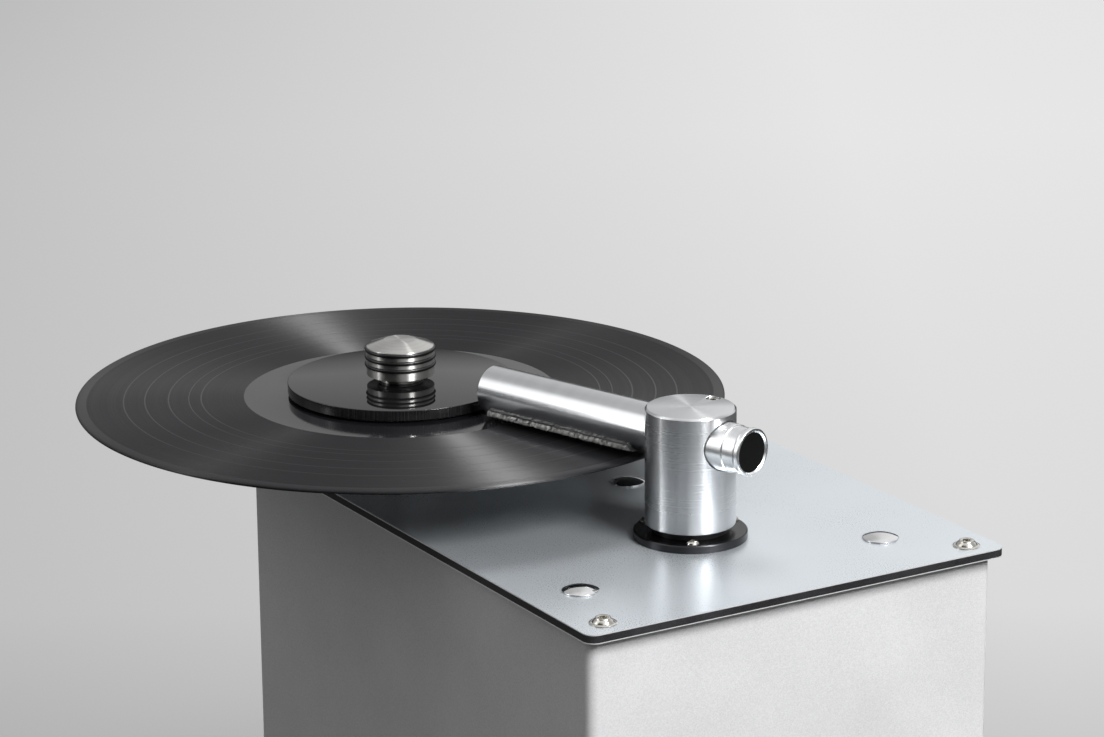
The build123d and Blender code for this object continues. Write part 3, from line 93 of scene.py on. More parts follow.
# Places in metres, and heights and radii in millimetres, that the solids give.
SPINDLE = middle("record").xy.to_3d()
POST = middle("arm_post").xy.to_3d()
PLATE_TOP = heights("top_panel_skins")[1]
RING_TOP = heights("arm_base_bush")[1]
PANEL_SCREW_END = heights("top_panel_screws")[0] - PLATE_TOP
BASE_SCREW_END = heights("arm_base_screws")[0] - RING_TOP
POST_BOTTOM = heights("arm_swivel")[1]
POST_FOOT, POST_TOP = heights("arm_post")
POST_R = half_width("arm_post")
RECORD_MIDDLE = mm(middle("record").z)
RECORD_R = half_width("record")
DISC_BOTTOM, DISC_TOP = heights("clamp_disc")
DISC_R = half_width("clamp_disc")
KNOB_BOTTOM, KNOB_TOP = heights("clamp_knob")
KNOB_R = half_width("clamp_knob")
RING_R = half_width("knob_rings")
ARM_Z = mm(middle("arm_tube").z)
TUBE_R = mm((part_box("arm_tube")[1].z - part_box("arm_tube")[0].z) / 2)
ARM = (SPINDLE - POST).normalized()
SIDE = UP.cross(ARM)
ARM_AXIS = POST + UP * ARM_Z * MM

# Sizes in millimetres that fix how the pieces meet.
CLAMP_TO_TUBE = 5.8
TUBE_REACH = mm((SPINDLE - POST).length) - DISC_R - CLAMP_TO_TUBE
TUBE_WALL = 2.0
TUBE_BACK = -8.0            # the tube's hidden end, past the post's axis
TAIL_R = 10.7
TAIL_BORE_R = 8.9
TAIL_END = -34.7
STRIP_ENDS = (29.1, 112.4)  # along the tube, from the post's axis
STRIP_NEAR = 9.6            # degrees from straight down
STRIP_FAR = 44
STRIP_STEPS = 9
SPINDLE_BORE_R = 3.65
GRIP_RINGS = 3


def linear(code):
    """Linear colour from an sRGB hex value."""
    parts = [int(code[i:i + 2], 16) / 255 for i in (1, 3, 5)]
    return tuple(v / 12.92 if v <= 0.04045 else ((v + 0.055) / 1.055) ** 2.4 for v in parts) + (1.0,)


def tint(colour, factor):
    """A lighter or darker shade of a linear colour."""
    return tuple(min(v * factor, 1.0) for v in colour[:3]) + (1.0,)


def colour_input(name, description, code):
    return FloatVectorProperty(name=name, description=description, subtype="COLOR", size=4,
                               min=0.0, max=1.0, default=linear(code))


def length_input(name, description, millimetres):
    return FloatProperty(name=name, description=description, unit="LENGTH", subtype="DISTANCE",
                         default=millimetres * MM, min=0.0, precision=5)


def power_input(name, description, watts):
    return FloatProperty(name=name, description=description, unit="POWER", default=watts, min=0.0)


class CleanerRecord(PropertyGroup):
    vinyl: colour_input("Vinyl", "Colour of the pressed vinyl", "#101012")
    label: colour_input("Label", "Colour of the paper label", "#C9C4B4")
    groove_start: length_input("Groove start", "Radius at which the grooves begin", 145.6)
    groove_end: length_input("Groove end", "Radius at which the grooves run into the dead wax", 73.0)
    facets: IntProperty(name="Facets", description="Facets round the disc", default=288, min=64)


class CleanerClamp(PropertyGroup):
    disc: colour_input("Disc", "Colour of the acrylic clamp disc", "#0D0D0E")
    steel: colour_input("Knob", "Colour of the turned steel knob", "#C9C8C5")
    rubber: colour_input("Grip rings", "Colour of the rubber grip rings", "#0A0A0A")
    ring_section: length_input("Ring section", "Thickness of a grip ring", 1.9)
    ring_pitch: length_input("Ring pitch", "Height between two grip rings", 3.65)
    ring_start: length_input("First ring", "Height of the lowest grip ring above the disc", 7.7)


class CleanerArm(PropertyGroup):
    metal: colour_input("Aluminium", "Colour of the turned aluminium", "#E8EAEC")
    base: colour_input("Base ring", "Colour of the turned black base ring", "#1B1B1C")
    pile: colour_input("Pile", "Colour of the velvet pile", "#F1F0ED")
    pile_length: length_input("Pile length", "Length of one tuft of pile", 1.4)
    tuft_spacing: length_input("Tuft spacing", "Mean distance between two tufts", 0.66)


class CleanerCase(PropertyGroup):
    plate: colour_input("Top panel", "Colour of the satin top skin", "#D5DBE0")
    core: colour_input("Core", "Colour of the panel's filled core", "#1D1D1F")
    coat: colour_input("Powder coat", "Colour of the fine-textured powder coat", "#DDDDDE")
    screw: colour_input("Screws", "Colour of the stainless screws", "#D6D3CC")
    cap: colour_input("Caps", "Colour of the chromed cover caps", "#E9E9EA")


class CleanerStage(PropertyGroup):
    floor: colour_input("Floor", "Colour of the floor", "#E6E6E6")
    key_power: power_input("Key light", "Power of the large soft light", 66.0)
    edge_power: power_input("Edge light", "Power of the tall narrow light", 3.0)
    top_power: power_input("Top light", "Power of the soft light above and behind", 46.0)
    groove_power: power_input("Groove light", "Power of the small high light over the grooves", 57.0)
    lens: FloatProperty(name="Lens", description="Focal length of the camera in millimetres",
                        default=121.56, min=10.0)


def feed(node, inputs):
    """Give a node's inputs a value, a node or a socket each."""
    for key, value in inputs.items():
        if isinstance(value, bpy.types.Node):
            value = next(socket for socket in value.outputs if socket.enabled)
        if isinstance(value, bpy.types.NodeSocket):
            node.id_data.links.new(value, node.inputs[key])
        else:
            node.inputs[key].default_value = value


def add(tree, kind, inputs=None, **settings):
    """Add a node with its settings and inputs."""
    node = tree.nodes.new(kind)
    for key, value in settings.items():
        setattr(node, key, value)
    feed(node, inputs or {})
    return node


def new_finish(name):
    """Empty material, with its node tree, its shader and the place of a point on the machine."""
    material = bpy.data.materials.new(name)
    material.use_nodes = True
    tree = material.node_tree
    tree.nodes.clear()
    shader = add(tree, "ShaderNodeBsdfPrincipled")
    add(tree, "ShaderNodeOutputMaterial", {"Surface": shader})
    return material, tree, shader, add(tree, "ShaderNodeTexCoord").outputs["Object"]


def grain_over_clouds(place, grain_mm, cloud_mm, cloud_share=0.35):
    """Fine grain alone, and the same grain over broad clouds, each about 0.3 to 0.7."""
    tree = place.id_data
    grain = add(tree, NOISE, {"Vector": place, "Scale": 1000 / grain_mm, "Detail": 3.0, "Roughness": 0.65})
    clouds = add(tree, NOISE, {"Vector": place, "Scale": 1000 / cloud_mm, "Detail": 2.0})
    return grain, add(tree, MIX, {0: cloud_share, 2: grain, 3: clouds})


def drive_surface(shader, value, dark, light, rough, relief, depth_mm, strength=0.4):
    """Let one pattern value drive a shader's colour and roughness, and a relief its normal."""
    tree = shader.id_data
    spread = add(tree, RANGE, {"Value": value, **NOISE_SPAN})
    colour = add(tree, MIX, {0: spread, 6: dark, 7: light}, data_type="RGBA")
    sheen = add(tree, RANGE, {"Value": spread, "To Min": rough[0], "To Max": rough[1]})
    bump = add(tree, BUMP, {"Height": relief, "Distance": depth_mm * MM, "Strength": strength})
    feed(shader, {"Base Color": colour, "Roughness": sheen, "Normal": bump})
    return colour, sheen


def from_axis(place, centre, axis=UP):
    """Offset from a turned part's centre, its cross product with the axis, and the radius."""
    tree = place.id_data
    offset = add(tree, VECTOR, {0: place, 1: centre}, operation="SUBTRACT")
    across = add(tree, VECTOR, {0: axis, 1: offset}, operation="CROSS_PRODUCT")
    return offset, across, add(tree, VECTOR, {0: across}, operation="LENGTH").outputs["Value"]


def way_round(across):
    """Direction round the axis, along which a lathe or a groove draws its lines."""
    tree = across.id_data
    world = add(tree, "ShaderNodeVectorTransform", {0: across}, vector_type="VECTOR",
                convert_from="OBJECT", convert_to="WORLD")
    return add(tree, VECTOR, {0: world}, operation="NORMALIZE")


def grained(name, tones, rough, grain_mm, clouds, depth_mm, more, strength=0.4):
    """Finish between two tones, with the grain its making leaves over broad clouds."""
    material, _, shader, place = new_finish(name)
    grain, value = grain_over_clouds(place, grain_mm, *clouds)
    drive_surface(shader, value, *tones, rough, grain, depth_mm, strength)
    feed(shader, more)
    return material


def turned_metal(name, colour, centre, axis=UP, rough=(0.26, 0.275), spread=0.93, lines_mm=1.1,
                 contrast=0.95, face=0.8):
    """Lathe-turned metal: fine rings drag each highlight along the part's axis."""
    material, tree, shader, place = new_finish(name)
    offset, across, radius = from_axis(place, centre, axis)
    height = add(tree, VECTOR, {0: offset, 1: axis}, operation="DOT_PRODUCT").outputs["Value"]
    travel = add(tree, MATH, {0: height, 1: radius}, operation="ADD")
    # The feed marks are about 0.1 mm apart, drawn at about 1 mm so that they show.
    lines = add(tree, NOISE, {"W": travel, "Scale": 1000 / lines_mm, "Detail": 2.0, "Roughness": 0.5},
                noise_dimensions="1D")
    clouds = add(tree, NOISE, {"Vector": offset, "Scale": 1000 / 14, "Detail": 1.0})
    value = add(tree, MIX, {0: 0.3, 2: lines, 3: clouds})
    side_rough = drive_surface(shader, value, tint(colour, contrast), colour, rough, lines, 0.0005, 0.05)[1]
    # Faces square to the axis are cut with a finer feed than the sides.
    normal = add(tree, "ShaderNodeNewGeometry").outputs["True Normal"]
    square = add(tree, VECTOR, {0: normal, 1: axis}, operation="DOT_PRODUCT").outputs["Value"]
    either = add(tree, MATH, {0: square}, operation="ABSOLUTE")
    finer = add(tree, RANGE, {"Value": either, "From Min": 0.8, "From Max": 0.95,
                              "To Min": 1.0, "To Max": face})
    feed(shader, {"Roughness": add(tree, MATH, {0: side_rough, 1: finer}, operation="MULTIPLY"),
                  "Tangent": way_round(across), "Anisotropic": spread, "Anisotropic Rotation": 0.25,
                  "Metallic": 1.0})
    return material


def bare_metal(name, colour, rough, grain_mm=0.4, depth_mm=0.004, contrast=0.86):
    """Bare, plated, cast or ground metal: an even tone with the grain its making leaves."""
    tones = tint(colour, contrast), colour
    return grained(name, tones, rough, grain_mm, (12.0, 0.5), depth_mm, {"Metallic": 1.0})


def moulded(name, code, rough, grain_mm=0.5, depth_mm=0.02, tones=(0.82, 1.15), **more):
    """Moulded plastic or rubber, from a hex value or a colour: even, with the mould's eroded grain."""
    colour = linear(code) if isinstance(code, str) else code
    shades = [tint(colour, tone) for tone in tones]
    return grained(name, shades, rough, grain_mm, (25.0,), depth_mm, {"IOR": 1.5, **more})


def fibrous(name, colour, fibre_mm, sheen=0.3):
    """Felt or cloth backing: matted fibres with a soft sheen at grazing angles."""
    tones = tint(colour, 0.6), tint(colour, 1.25)
    return grained(name, tones, (0.85, 0.95), fibre_mm, (14.0, 0.2), 0.2, {"Sheen Weight": sheen}, 0.6)


def bright_pile(colour):
    """Velvet pile of drawn nylon: each filament is bright, so the nap glints and mirrors what lies near."""
    return grained("nylon_velvet_pile", (tint(colour, 0.7), colour), (0.3, 0.42), 0.7, (9.0, 0.2), 0.1,
                   {"Metallic": 0.5, "Sheen Weight": 1.0})


def satin_skin(colour):
    """Satin-anodised aluminium sheet: soft reflections over an even etched grain."""
    material, tree, shader, place = new_finish("satin_anodised_aluminium")
    # Etching leaves a 0.1 mm grain, drawn at 0.6 mm so that it shows.
    grain, value = grain_over_clouds(place, 0.6, 70.0, 0.3)
    face, rough = drive_surface(shader, value, tint(colour, 0.88), colour, (0.27, 0.3), grain, 0.01, 0.15)
    # The trimmed edges are bare and milled, so paler and duller than the faces.
    facing = add(tree, "ShaderNodeNewGeometry").outputs["True Normal"]
    upright = add(tree, "ShaderNodeSeparateXYZ", {0: facing}).outputs[2]
    level = add(tree, MATH, {0: upright}, operation="ABSOLUTE")
    # The trimmed edges are bare and milled, so duller than the faces; they are paler partly as bare metal and
    # partly as a painted highlight that draws a thin bright line along each edge.
    trimmed = add(tree, MATH, {0: level, 1: 0.5}, operation="LESS_THAN")
    bare_edge_with_highlight = (0.95, 0.95, 0.95, 1)
    feed(shader, {"Base Color": add(tree, MIX, {0: trimmed, 6: face, 7: bare_edge_with_highlight}, data_type="RGBA"),
                  "Roughness": add(tree, MIX, {0: trimmed, 2: rough, 3: 0.55}), "Metallic": 0.7})
    return material


def powder_coat(colour):
    """Fine-textured metallic powder coat on folded sheet: sandy, evenly speckled and half matt."""
    material, tree, shader, place = new_finish("textured_powder_coat")
    # The grit is about 0.2 mm, drawn at 0.4 mm so that it shows.
    grit, value = grain_over_clouds(place, 0.4, 45.0, 0.25)
    flakes = add(tree, "ShaderNodeTexVoronoi", {"Vector": place, "Scale": 1000 / 0.5}).outputs["Color"]
    flake = add(tree, "ShaderNodeSeparateColor", {0: flakes})
    speckled = add(tree, MIX, {0: 0.12, 2: value, 3: flake})
    drive_surface(shader, speckled, tint(colour, 0.86), tint(colour, 1.1), (0.45, 0.55), grit, 0.02, 0.3)
    feed(shader, {"Metallic": 0.08})
    return material


def pressed_vinyl(colour, start, end):
    """Pressed vinyl: concentric grooves fan the light into wedges between smooth separator bands."""
    material, tree, shader, place = new_finish("pressed_vinyl")
    _, across, radius = from_axis(place, SPINDLE)
    beyond = add(tree, MATH, {0: radius, 1: end}, operation="GREATER_THAN")
    within = add(tree, MATH, {0: radius, 1: start}, operation="LESS_THAN")
    grooved = add(tree, MATH, {0: beyond, 1: within}, operation="MULTIPLY")
    ungrooved = add(tree, MATH, {0: 1.0, 1: grooved}, operation="SUBTRACT")
    # Between two tracks the groove widens to a smooth band of about 0.6 mm.
    smooth = ungrooved
    for track_end, half in ((128.6, 0.3), (118.8, 0.3), (107.9, 0.3), (98.5, 0.25), (92.8, 0.3)):
        band = add(tree, MATH, {0: radius, 1: track_end * MM, 2: half * MM}, operation="COMPARE")
        smooth = add(tree, MATH, {0: smooth, 1: band}, operation="MAXIMUM")
    # Grooves are 0.1 mm apart: quiet and loud passages are drawn as rings of 0.8 and 4 mm.
    fine = add(tree, NOISE, {"W": radius, "Scale": 1000 / 0.8, "Detail": 3.0, "Roughness": 0.7},
               noise_dimensions="1D")
    loud = add(tree, NOISE, {"W": radius, "Scale": 1000 / 4.0, "Detail": 2.0}, noise_dimensions="1D")
    value = add(tree, MIX, {0: 0.5, 2: fine, 3: loud})
    spread = add(tree, RANGE, {"Value": value, **NOISE_SPAN})
    tone = add(tree, MIX, {0: spread, 6: tint(colour, 0.7), 7: tint(colour, 1.5)}, data_type="RGBA")
    groove_rough = add(tree, RANGE, {"Value": spread, "To Min": 0.50, "To Max": 0.57})
    # Separators are dull, the dead wax is like a mirror, and the bead at the rim lies between.
    bead = add(tree, RANGE, {"Value": within, "To Min": 0.42, "To Max": 0.06})
    flat_rough = add(tree, MIX, {0: ungrooved, 2: 0.36, 3: bead})
    relief = add(tree, MATH, {0: fine, 1: grooved}, operation="MULTIPLY")
    feed(shader, {"Base Color": add(tree, MIX, {0: smooth, 6: tone, 7: tint(colour, 1.3)}, data_type="RGBA"),
                  "Roughness": add(tree, MIX, {0: smooth, 2: groove_rough, 3: flat_rough}),
                  "Normal": add(tree, BUMP, {"Height": relief, "Distance": 0.05 * MM, "Strength": 0.8}),
                  "Tangent": way_round(across), "Anisotropic": 1.0, "Anisotropic Rotation": 0.25,
                  "IOR": 1.54, "Specular IOR Level": 0.48})
    return material


def cast_acrylic(colour, rim):
    """Polished cast acrylic: a mirror-like face, and fine saw marks round its turned edge."""
    material, tree, shader, place = new_finish("cast_acrylic")
    offset, _, radius = from_axis(place, SPINDLE)
    part = add(tree, "ShaderNodeSeparateXYZ", {0: offset})
    angle = add(tree, MATH, {0: part.outputs[1], 1: part.outputs[0]}, operation="ARCTAN2")
    # Saw marks 0.6 mm apart along the rim.
    marks = add(tree, NOISE, {"W": angle, "Scale": rim / 0.6, "Detail": 3.0, "Roughness": 0.7},
                noise_dimensions="1D")
    on_rim = add(tree, MATH, {0: radius, 1: (rim - 0.15) * MM}, operation="GREATER_THAN")
    marked = add(tree, MATH, {0: marks, 1: on_rim}, operation="MULTIPLY")
    spread = add(tree, RANGE, {"Value": marked, "From Min": 0.45, "From Max": 0.8})
    sawn = tint(colour, 7.0)
    feed(shader, {"Base Color": add(tree, MIX, {0: spread, 6: colour, 7: sawn}, data_type="RGBA"),
                  "Roughness": add(tree, RANGE, {"Value": on_rim, "To Min": 0.03, "To Max": 0.2}),
                  "Normal": add(tree, BUMP, {"Height": marked, "Distance": 0.02 * MM, "Strength": 0.5}),
                  "IOR": 1.49, "Specular IOR Level": 0.46})
    return material


def label_paper(colour):
    """Uncoated paper label pressed on to the vinyl: soft fibres and a plain printed ring."""
    material, tree, shader, place = new_finish("label_paper")
    offset, _, radius = from_axis(place, SPINDLE)
    fibres, value = grain_over_clouds(offset.outputs[0], 0.8, 20.0)
    ring = add(tree, MATH, {0: radius, 1: 46.5 * MM, 2: 0.4 * MM}, operation="COMPARE")
    paper = drive_surface(shader, value, tint(colour, 0.88), colour, (0.7, 0.8), fibres, 0.02)[0]
    feed(shader, {"Base Color": add(tree, MIX, {0: ring, 6: paper, 7: tint(colour, 0.3)}, data_type="RGBA")})
    return material


def board_laminate(colour):
    """Glass-epoxy laminate under solder resist: faint tracks show through the lacquer."""
    material, tree, shader, place = new_finish("glass_epoxy_laminate")
    grain, value = grain_over_clouds(place, 0.5, 9.0)
    spread = add(tree, RANGE, {"Value": value, **NOISE_SPAN})
    tracks = add(tree, "ShaderNodeTexBrick", {"Vector": place, "Scale": 1000 / 14.0, "Mortar Size": 0.03,
                                              "Color1": colour, "Color2": tint(colour, 0.75),
                                              "Mortar": tint(colour, 2.4)})
    feed(shader, {"Base Color": tracks.outputs["Color"],
                  "Roughness": add(tree, RANGE, {"Value": spread, "To Min": 0.3, "To Max": 0.4}),
                  "Normal": add(tree, BUMP, {"Height": grain, "Distance": 0.01 * MM, "Strength": 0.4})})
    return material


def new_tree(name, **sockets):
    """Geometry node tree with named inputs and one result, and its inputs."""
    tree = bpy.data.node_groups.new(name, "GeometryNodeTree")
    for label, kind in sockets.items():
        tree.interface.new_socket(label, in_out="INPUT", socket_type="NodeSocket" + kind)
    tree.interface.new_socket("Body", in_out="OUTPUT", socket_type="NodeSocketGeometry")
    return tree, add(tree, "NodeGroupInput").outputs


def end_tree(tree, shape, finish):
    """Make a tree's result real, in its finish."""
    real = add(tree, "GeometryNodeRealizeInstances", {0: shape})
    coloured = add(tree, "GeometryNodeSetMaterial", {"Geometry": real, "Material": finish})
    add(tree, "NodeGroupOutput", {0: coloured})
    return tree


def turned_tree():
    """Node tree that sweeps a profile's points, x as radius and z as height, round an axis."""
    tree, given = new_tree("turned_part", Profile="Geometry", Facets="Int", Place="Vector", Axis="Vector",
                           Finish="Material")
    rows = add(tree, "GeometryNodeAttributeDomainSize", {0: given["Profile"]}).outputs["Point Count"]
    columns = add(tree, MATH, {0: given["Facets"], 1: 1.0}, operation="ADD")
    grid = add(tree, "GeometryNodeMeshGrid", {"Vertices X": columns, "Vertices Y": rows})
    index = add(tree, "GeometryNodeInputIndex")
    row = add(tree, MATH, {0: index, 1: rows}, operation="MODULO")
    share = add(tree, MATH, {0: index, 1: rows}, operation="DIVIDE")
    column = add(tree, MATH, {0: share}, operation="FLOOR")
    step = add(tree, MATH, {0: math.tau, 1: given["Facets"]}, operation="DIVIDE")
    turn = add(tree, MATH, {0: column, 1: step}, operation="MULTIPLY")
    where = add(tree, "GeometryNodeInputPosition")
    point = add(tree, "GeometryNodeSampleIndex", {"Geometry": given["Profile"], "Index": row},
                data_type="FLOAT_VECTOR")
    tree.links.new(where.outputs[0], next(s for s in point.inputs if s.name == "Value" and s.enabled))
    swung = add(tree, "ShaderNodeVectorRotate", {"Vector": point, "Axis": (0, 0, 1), "Angle": turn})
    lean = add(tree, "FunctionNodeAlignRotationToVector", {"Vector": given["Axis"]}, axis="Z")
    leant = add(tree, "FunctionNodeRotateVector", {0: swung, 1: lean})
    placed = add(tree, VECTOR, {0: leant, 1: given["Place"]}, operation="ADD")
    shaped = add(tree, "GeometryNodeSetPosition", {"Geometry": grid, "Position": placed})
    joined = add(tree, "GeometryNodeMergeByDistance", {"Geometry": shaped, "Distance": SAME_POINT})
    return end_tree(tree, joined, given["Finish"])


def repeat_tree():
    """Node tree that stands one pattern part on each given point, turned by the point's own angle."""
    tree, given = new_tree("repeated_part", Points="Geometry", Part="Object", Finish="Material")
    part = add(tree, "GeometryNodeObjectInfo", {"Object": given["Part"]}).outputs["Geometry"]
    angle = add(tree, "GeometryNodeInputNamedAttribute", {"Name": "angle"}, data_type="FLOAT")
    turn = add(tree, "ShaderNodeCombineXYZ", {2: angle})
    stood = add(tree, "GeometryNodeInstanceOnPoints",
                {"Points": given["Points"], "Instance": part, "Rotation": turn})
    return end_tree(tree, stood, given["Finish"])


def pile_tree():
    """Node tree that scatters fine tufts over a strip, leaning a little at random."""
    tree, given = new_tree("velvet_pile", Backing="Geometry", Spacing="Float", Length="Float", Seed="Int",
                           Finish="Material")
    cell = add(tree, MATH, {0: given["Spacing"], 1: given["Spacing"]}, operation="MULTIPLY")
    density = add(tree, MATH, {0: 1.0, 1: cell}, operation="DIVIDE")
    spots = add(tree, "GeometryNodeDistributePointsOnFaces",
                {"Mesh": given["Backing"], "Density": density, "Seed": given["Seed"]})
    thin = add(tree, MATH, {0: given["Spacing"], 1: 0.34}, operation="MULTIPLY")
    tuft = add(tree, "GeometryNodeMeshCone", {"Vertices": 3, "Radius Top": 0.0, "Radius Bottom": thin,
                                              "Depth": given["Length"]}, fill_type="NONE")
    lean = add(tree, "FunctionNodeRandomValue", {0: (-0.35, -0.35, -0.6), 1: (0.35, 0.35, 0.6), "Seed": 3},
               data_type="FLOAT_VECTOR")
    size = add(tree, "FunctionNodeRandomValue", {2: 0.6, 3: 1.0, "Seed": 5}, data_type="FLOAT")
    # The record presses the pile short under the tube, and it stands free at the strips' far edges.
    where = add(tree, "GeometryNodeInputPosition")
    height = add(tree, "ShaderNodeSeparateXYZ", {0: where}).outputs[2]
    tube_bottom = ARM_Z - TUBE_R
    free = add(tree, RANGE, {"Value": height, "From Min": (tube_bottom - 0.8) * MM,
                             "From Max": (tube_bottom + 2.2) * MM, "To Min": 0.36, "To Max": 1.5})
    tall = add(tree, MATH, {0: free, 1: size.outputs[1]}, operation="MULTIPLY")
    length = add(tree, "ShaderNodeCombineXYZ", {0: 1.0, 1: 1.0, 2: tall})
    stood = add(tree, "GeometryNodeInstanceOnPoints",
                {"Points": spots.outputs["Points"], "Instance": tuft, "Rotation": spots.outputs["Rotation"],
                 "Scale": length})
    leant = add(tree, "GeometryNodeRotateInstances", {"Instances": stood, "Rotation": lean})
    return end_tree(tree, leant, given["Finish"])


TREES = {"turned_part": turned_tree, "repeated_part": repeat_tree, "velvet_pile": pile_tree}


def place_object(name, data):
    """New object in the scene."""
    made = bpy.data.objects.new(name, data)
    bpy.context.scene.collection.objects.link(made)
    return made


def drop(piece):
    bpy.data.objects.remove(piece)


def mesh_from(work, name):
    """Turn a finished bmesh into a mesh."""
    mesh = bpy.data.meshes.new(name)
    work.to_mesh(mesh)
    work.free()
    return mesh


def grow(name, mesh, kind, **values):
    """Run a node tree on a mesh and keep the result as a plain mesh at the origin."""
    piece = place_object(name, mesh)
    tree = bpy.data.node_groups.get(kind) or TREES[kind]()
    change = piece.modifiers.new(kind, "NODES")
    change.node_group = tree
    for item in tree.interface.items_tree:
        if item.in_out == "INPUT" and item.name in values:
            change[item.identifier] = values[item.name]
    settle(piece)
    return piece


def settle(piece):
    """Keep what a piece's modifiers make, and drop the modifiers."""
    graph = bpy.context.evaluated_depsgraph_get()
    graph.update()
    made = bpy.data.meshes.new_from_object(piece.evaluated_get(graph))
    piece.modifiers.clear()
    piece.data = made


def crisp(mesh, angle=32):
    """Merge doubles, turn faces outwards and smooth all but the sharp edges."""
    work = bmesh.new()
    work.from_mesh(mesh)
    bmesh.ops.remove_doubles(work, verts=work.verts, dist=SAME_POINT)
    bmesh.ops.recalc_face_normals(work, faces=work.faces)
    for face in work.faces:
        face.smooth = True
    for edge in work.edges:
        edge.smooth = len(edge.link_faces) == 2 and edge.calc_face_angle(0) < math.radians(angle)
    work.to_mesh(mesh)
    work.free()


def turned(name, profile, finish, place=Vector(), axis=UP, facets=160, angle=32):
    """Turned part from (radius, height) points in millimetres, about an axis at a place."""
    mesh = bpy.data.meshes.new(name)
    mesh.from_pydata([(r * MM, 0, h * MM) for r, h in profile], [], [])
    piece = grow(name, mesh, "turned_part", Facets=facets, Place=place, Axis=axis, Finish=finish)
    crisp(piece.data, angle)
    return piece


def repeated(name, places, part, finish):
    """Copies of a part at (x, y, z, angle) places in metres and radians, as one mesh."""
    mesh = bpy.data.meshes.new(name)
    mesh.from_pydata([place[:3] for place in places], [], [])
    angles = mesh.attributes.new("angle", "FLOAT", "POINT")
    angles.data.foreach_set("value", [place[3] for place in places])
    piece = grow(name, mesh, "repeated_part", Part=part, Finish=finish)
    drop(part)
    crisp(piece.data)
    return piece


def cut(piece, cutter):
    """Take a cutter out of a piece."""
    change = piece.modifiers.new("cut", "BOOLEAN")
    change.operation = "DIFFERENCE"
    change.solver = "EXACT"
    change.object = cutter
    settle(piece)
    drop(cutter)
    crisp(piece.data)


def join(piece, other):
    """Add another piece's faces to a piece."""
    work = bmesh.new()
    work.from_mesh(piece.data)
    work.from_mesh(other.data)
    work.to_mesh(piece.data)
    work.free()
    drop(other)
    crisp(piece.data)


def arc(x, y, radius, start, end, steps=4):
    """Profile points along an arc, angles in degrees."""
    turns = [math.radians(start + (end - start) * i / steps) for i in range(steps + 1)]
    return [(x + radius * math.cos(t), y + radius * math.sin(t)) for t in turns]


def socket_head(name, outline, socket_r, socket_depth, facets=48):
    """Screw head from (radius, height) points in millimetres, with a hexagon socket in its top."""
    top = outline[-1][1]
    lead_in, drill_point = 0.15, 1.15
    rows = [(r, h, False) for r, h in outline]
    rows += [(socket_r, top - lead_in, True), (socket_r, top - socket_depth, True),
             (0.001, top - socket_depth * drill_point, True)]
    work = bmesh.new()
    rings = []
    for r, h, six_sided in rows:
        ring = []
        for i in range(facets):
            turn = math.tau * i / facets
            reach = r / math.cos((turn + math.pi / 6) % (math.pi / 3) - math.pi / 6) if six_sided else r
            ring.append(work.verts.new((reach * MM * math.cos(turn), reach * MM * math.sin(turn), h * MM)))
        rings.append(ring)
    for low, high in zip(rings, rings[1:]):
        for i in range(facets):
            work.faces.new((low[i], low[i - 1], high[i - 1], high[i]))
    work.faces.new(rings[0])
    work.faces.new(rings[-1])
    mesh = mesh_from(work, name)
    crisp(mesh)
    return place_object(name, mesh)


def wear(piece, material, body, slot, *nodes):
    """Give a finished piece its material and body, and let it stand for solids. The slot is not used."""
    piece.data.materials.clear()
    piece.data.materials.append(material)
    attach(piece, body)
    if nodes:
        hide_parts(*nodes)


def paint(material, *nodes):
    """Give solids that stay a material."""
    for node in nodes:
        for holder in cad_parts[node].material_slots:
            holder.material = material


class CLEANER_OT_record(Operator):
    """Press the record: bead, grooves, dead wax and raised label land"""
    bl_idname = "cleaner.record"
    bl_label = "Record"

    def execute(self, context):
        sizes = context.scene.cleaner_record
        start, end = mm(sizes.groove_start), mm(sizes.groove_end)
        land, wax, groove, bead = 1.4, 0.9, 0.87, 1.0       # half thicknesses
        upper = [(3.62, 1.2), (3.9, land), (50.2, land), (50.7, 1.32), (51.4, 0.98), (52.0, wax),
                 (end - 1.2, wax), (end, groove), (start - 0.4, groove), (start + 0.4, 0.93), (147.4, bead), (149.2, bead),
                 (150.0, 0.86), (150.5, 0.58), (RECORD_R - 0.06, 0.3)]
        profile = [(r, RECORD_MIDDLE + h) for r, h in upper] + [(RECORD_R, RECORD_MIDDLE)]
        profile += [(r, RECORD_MIDDLE - h) for r, h in reversed(upper)] + [profile[0]]
        finish = pressed_vinyl(tuple(sizes.vinyl), sizes.groove_start, sizes.groove_end)
        disc = turned("pressed_record", profile, finish, SPINDLE, facets=sizes.facets)
        wear(disc, finish, "turntable", "vinyl", "record")
        paint(label_paper(tuple(sizes.label)), "record_label")
        return {"FINISHED"}


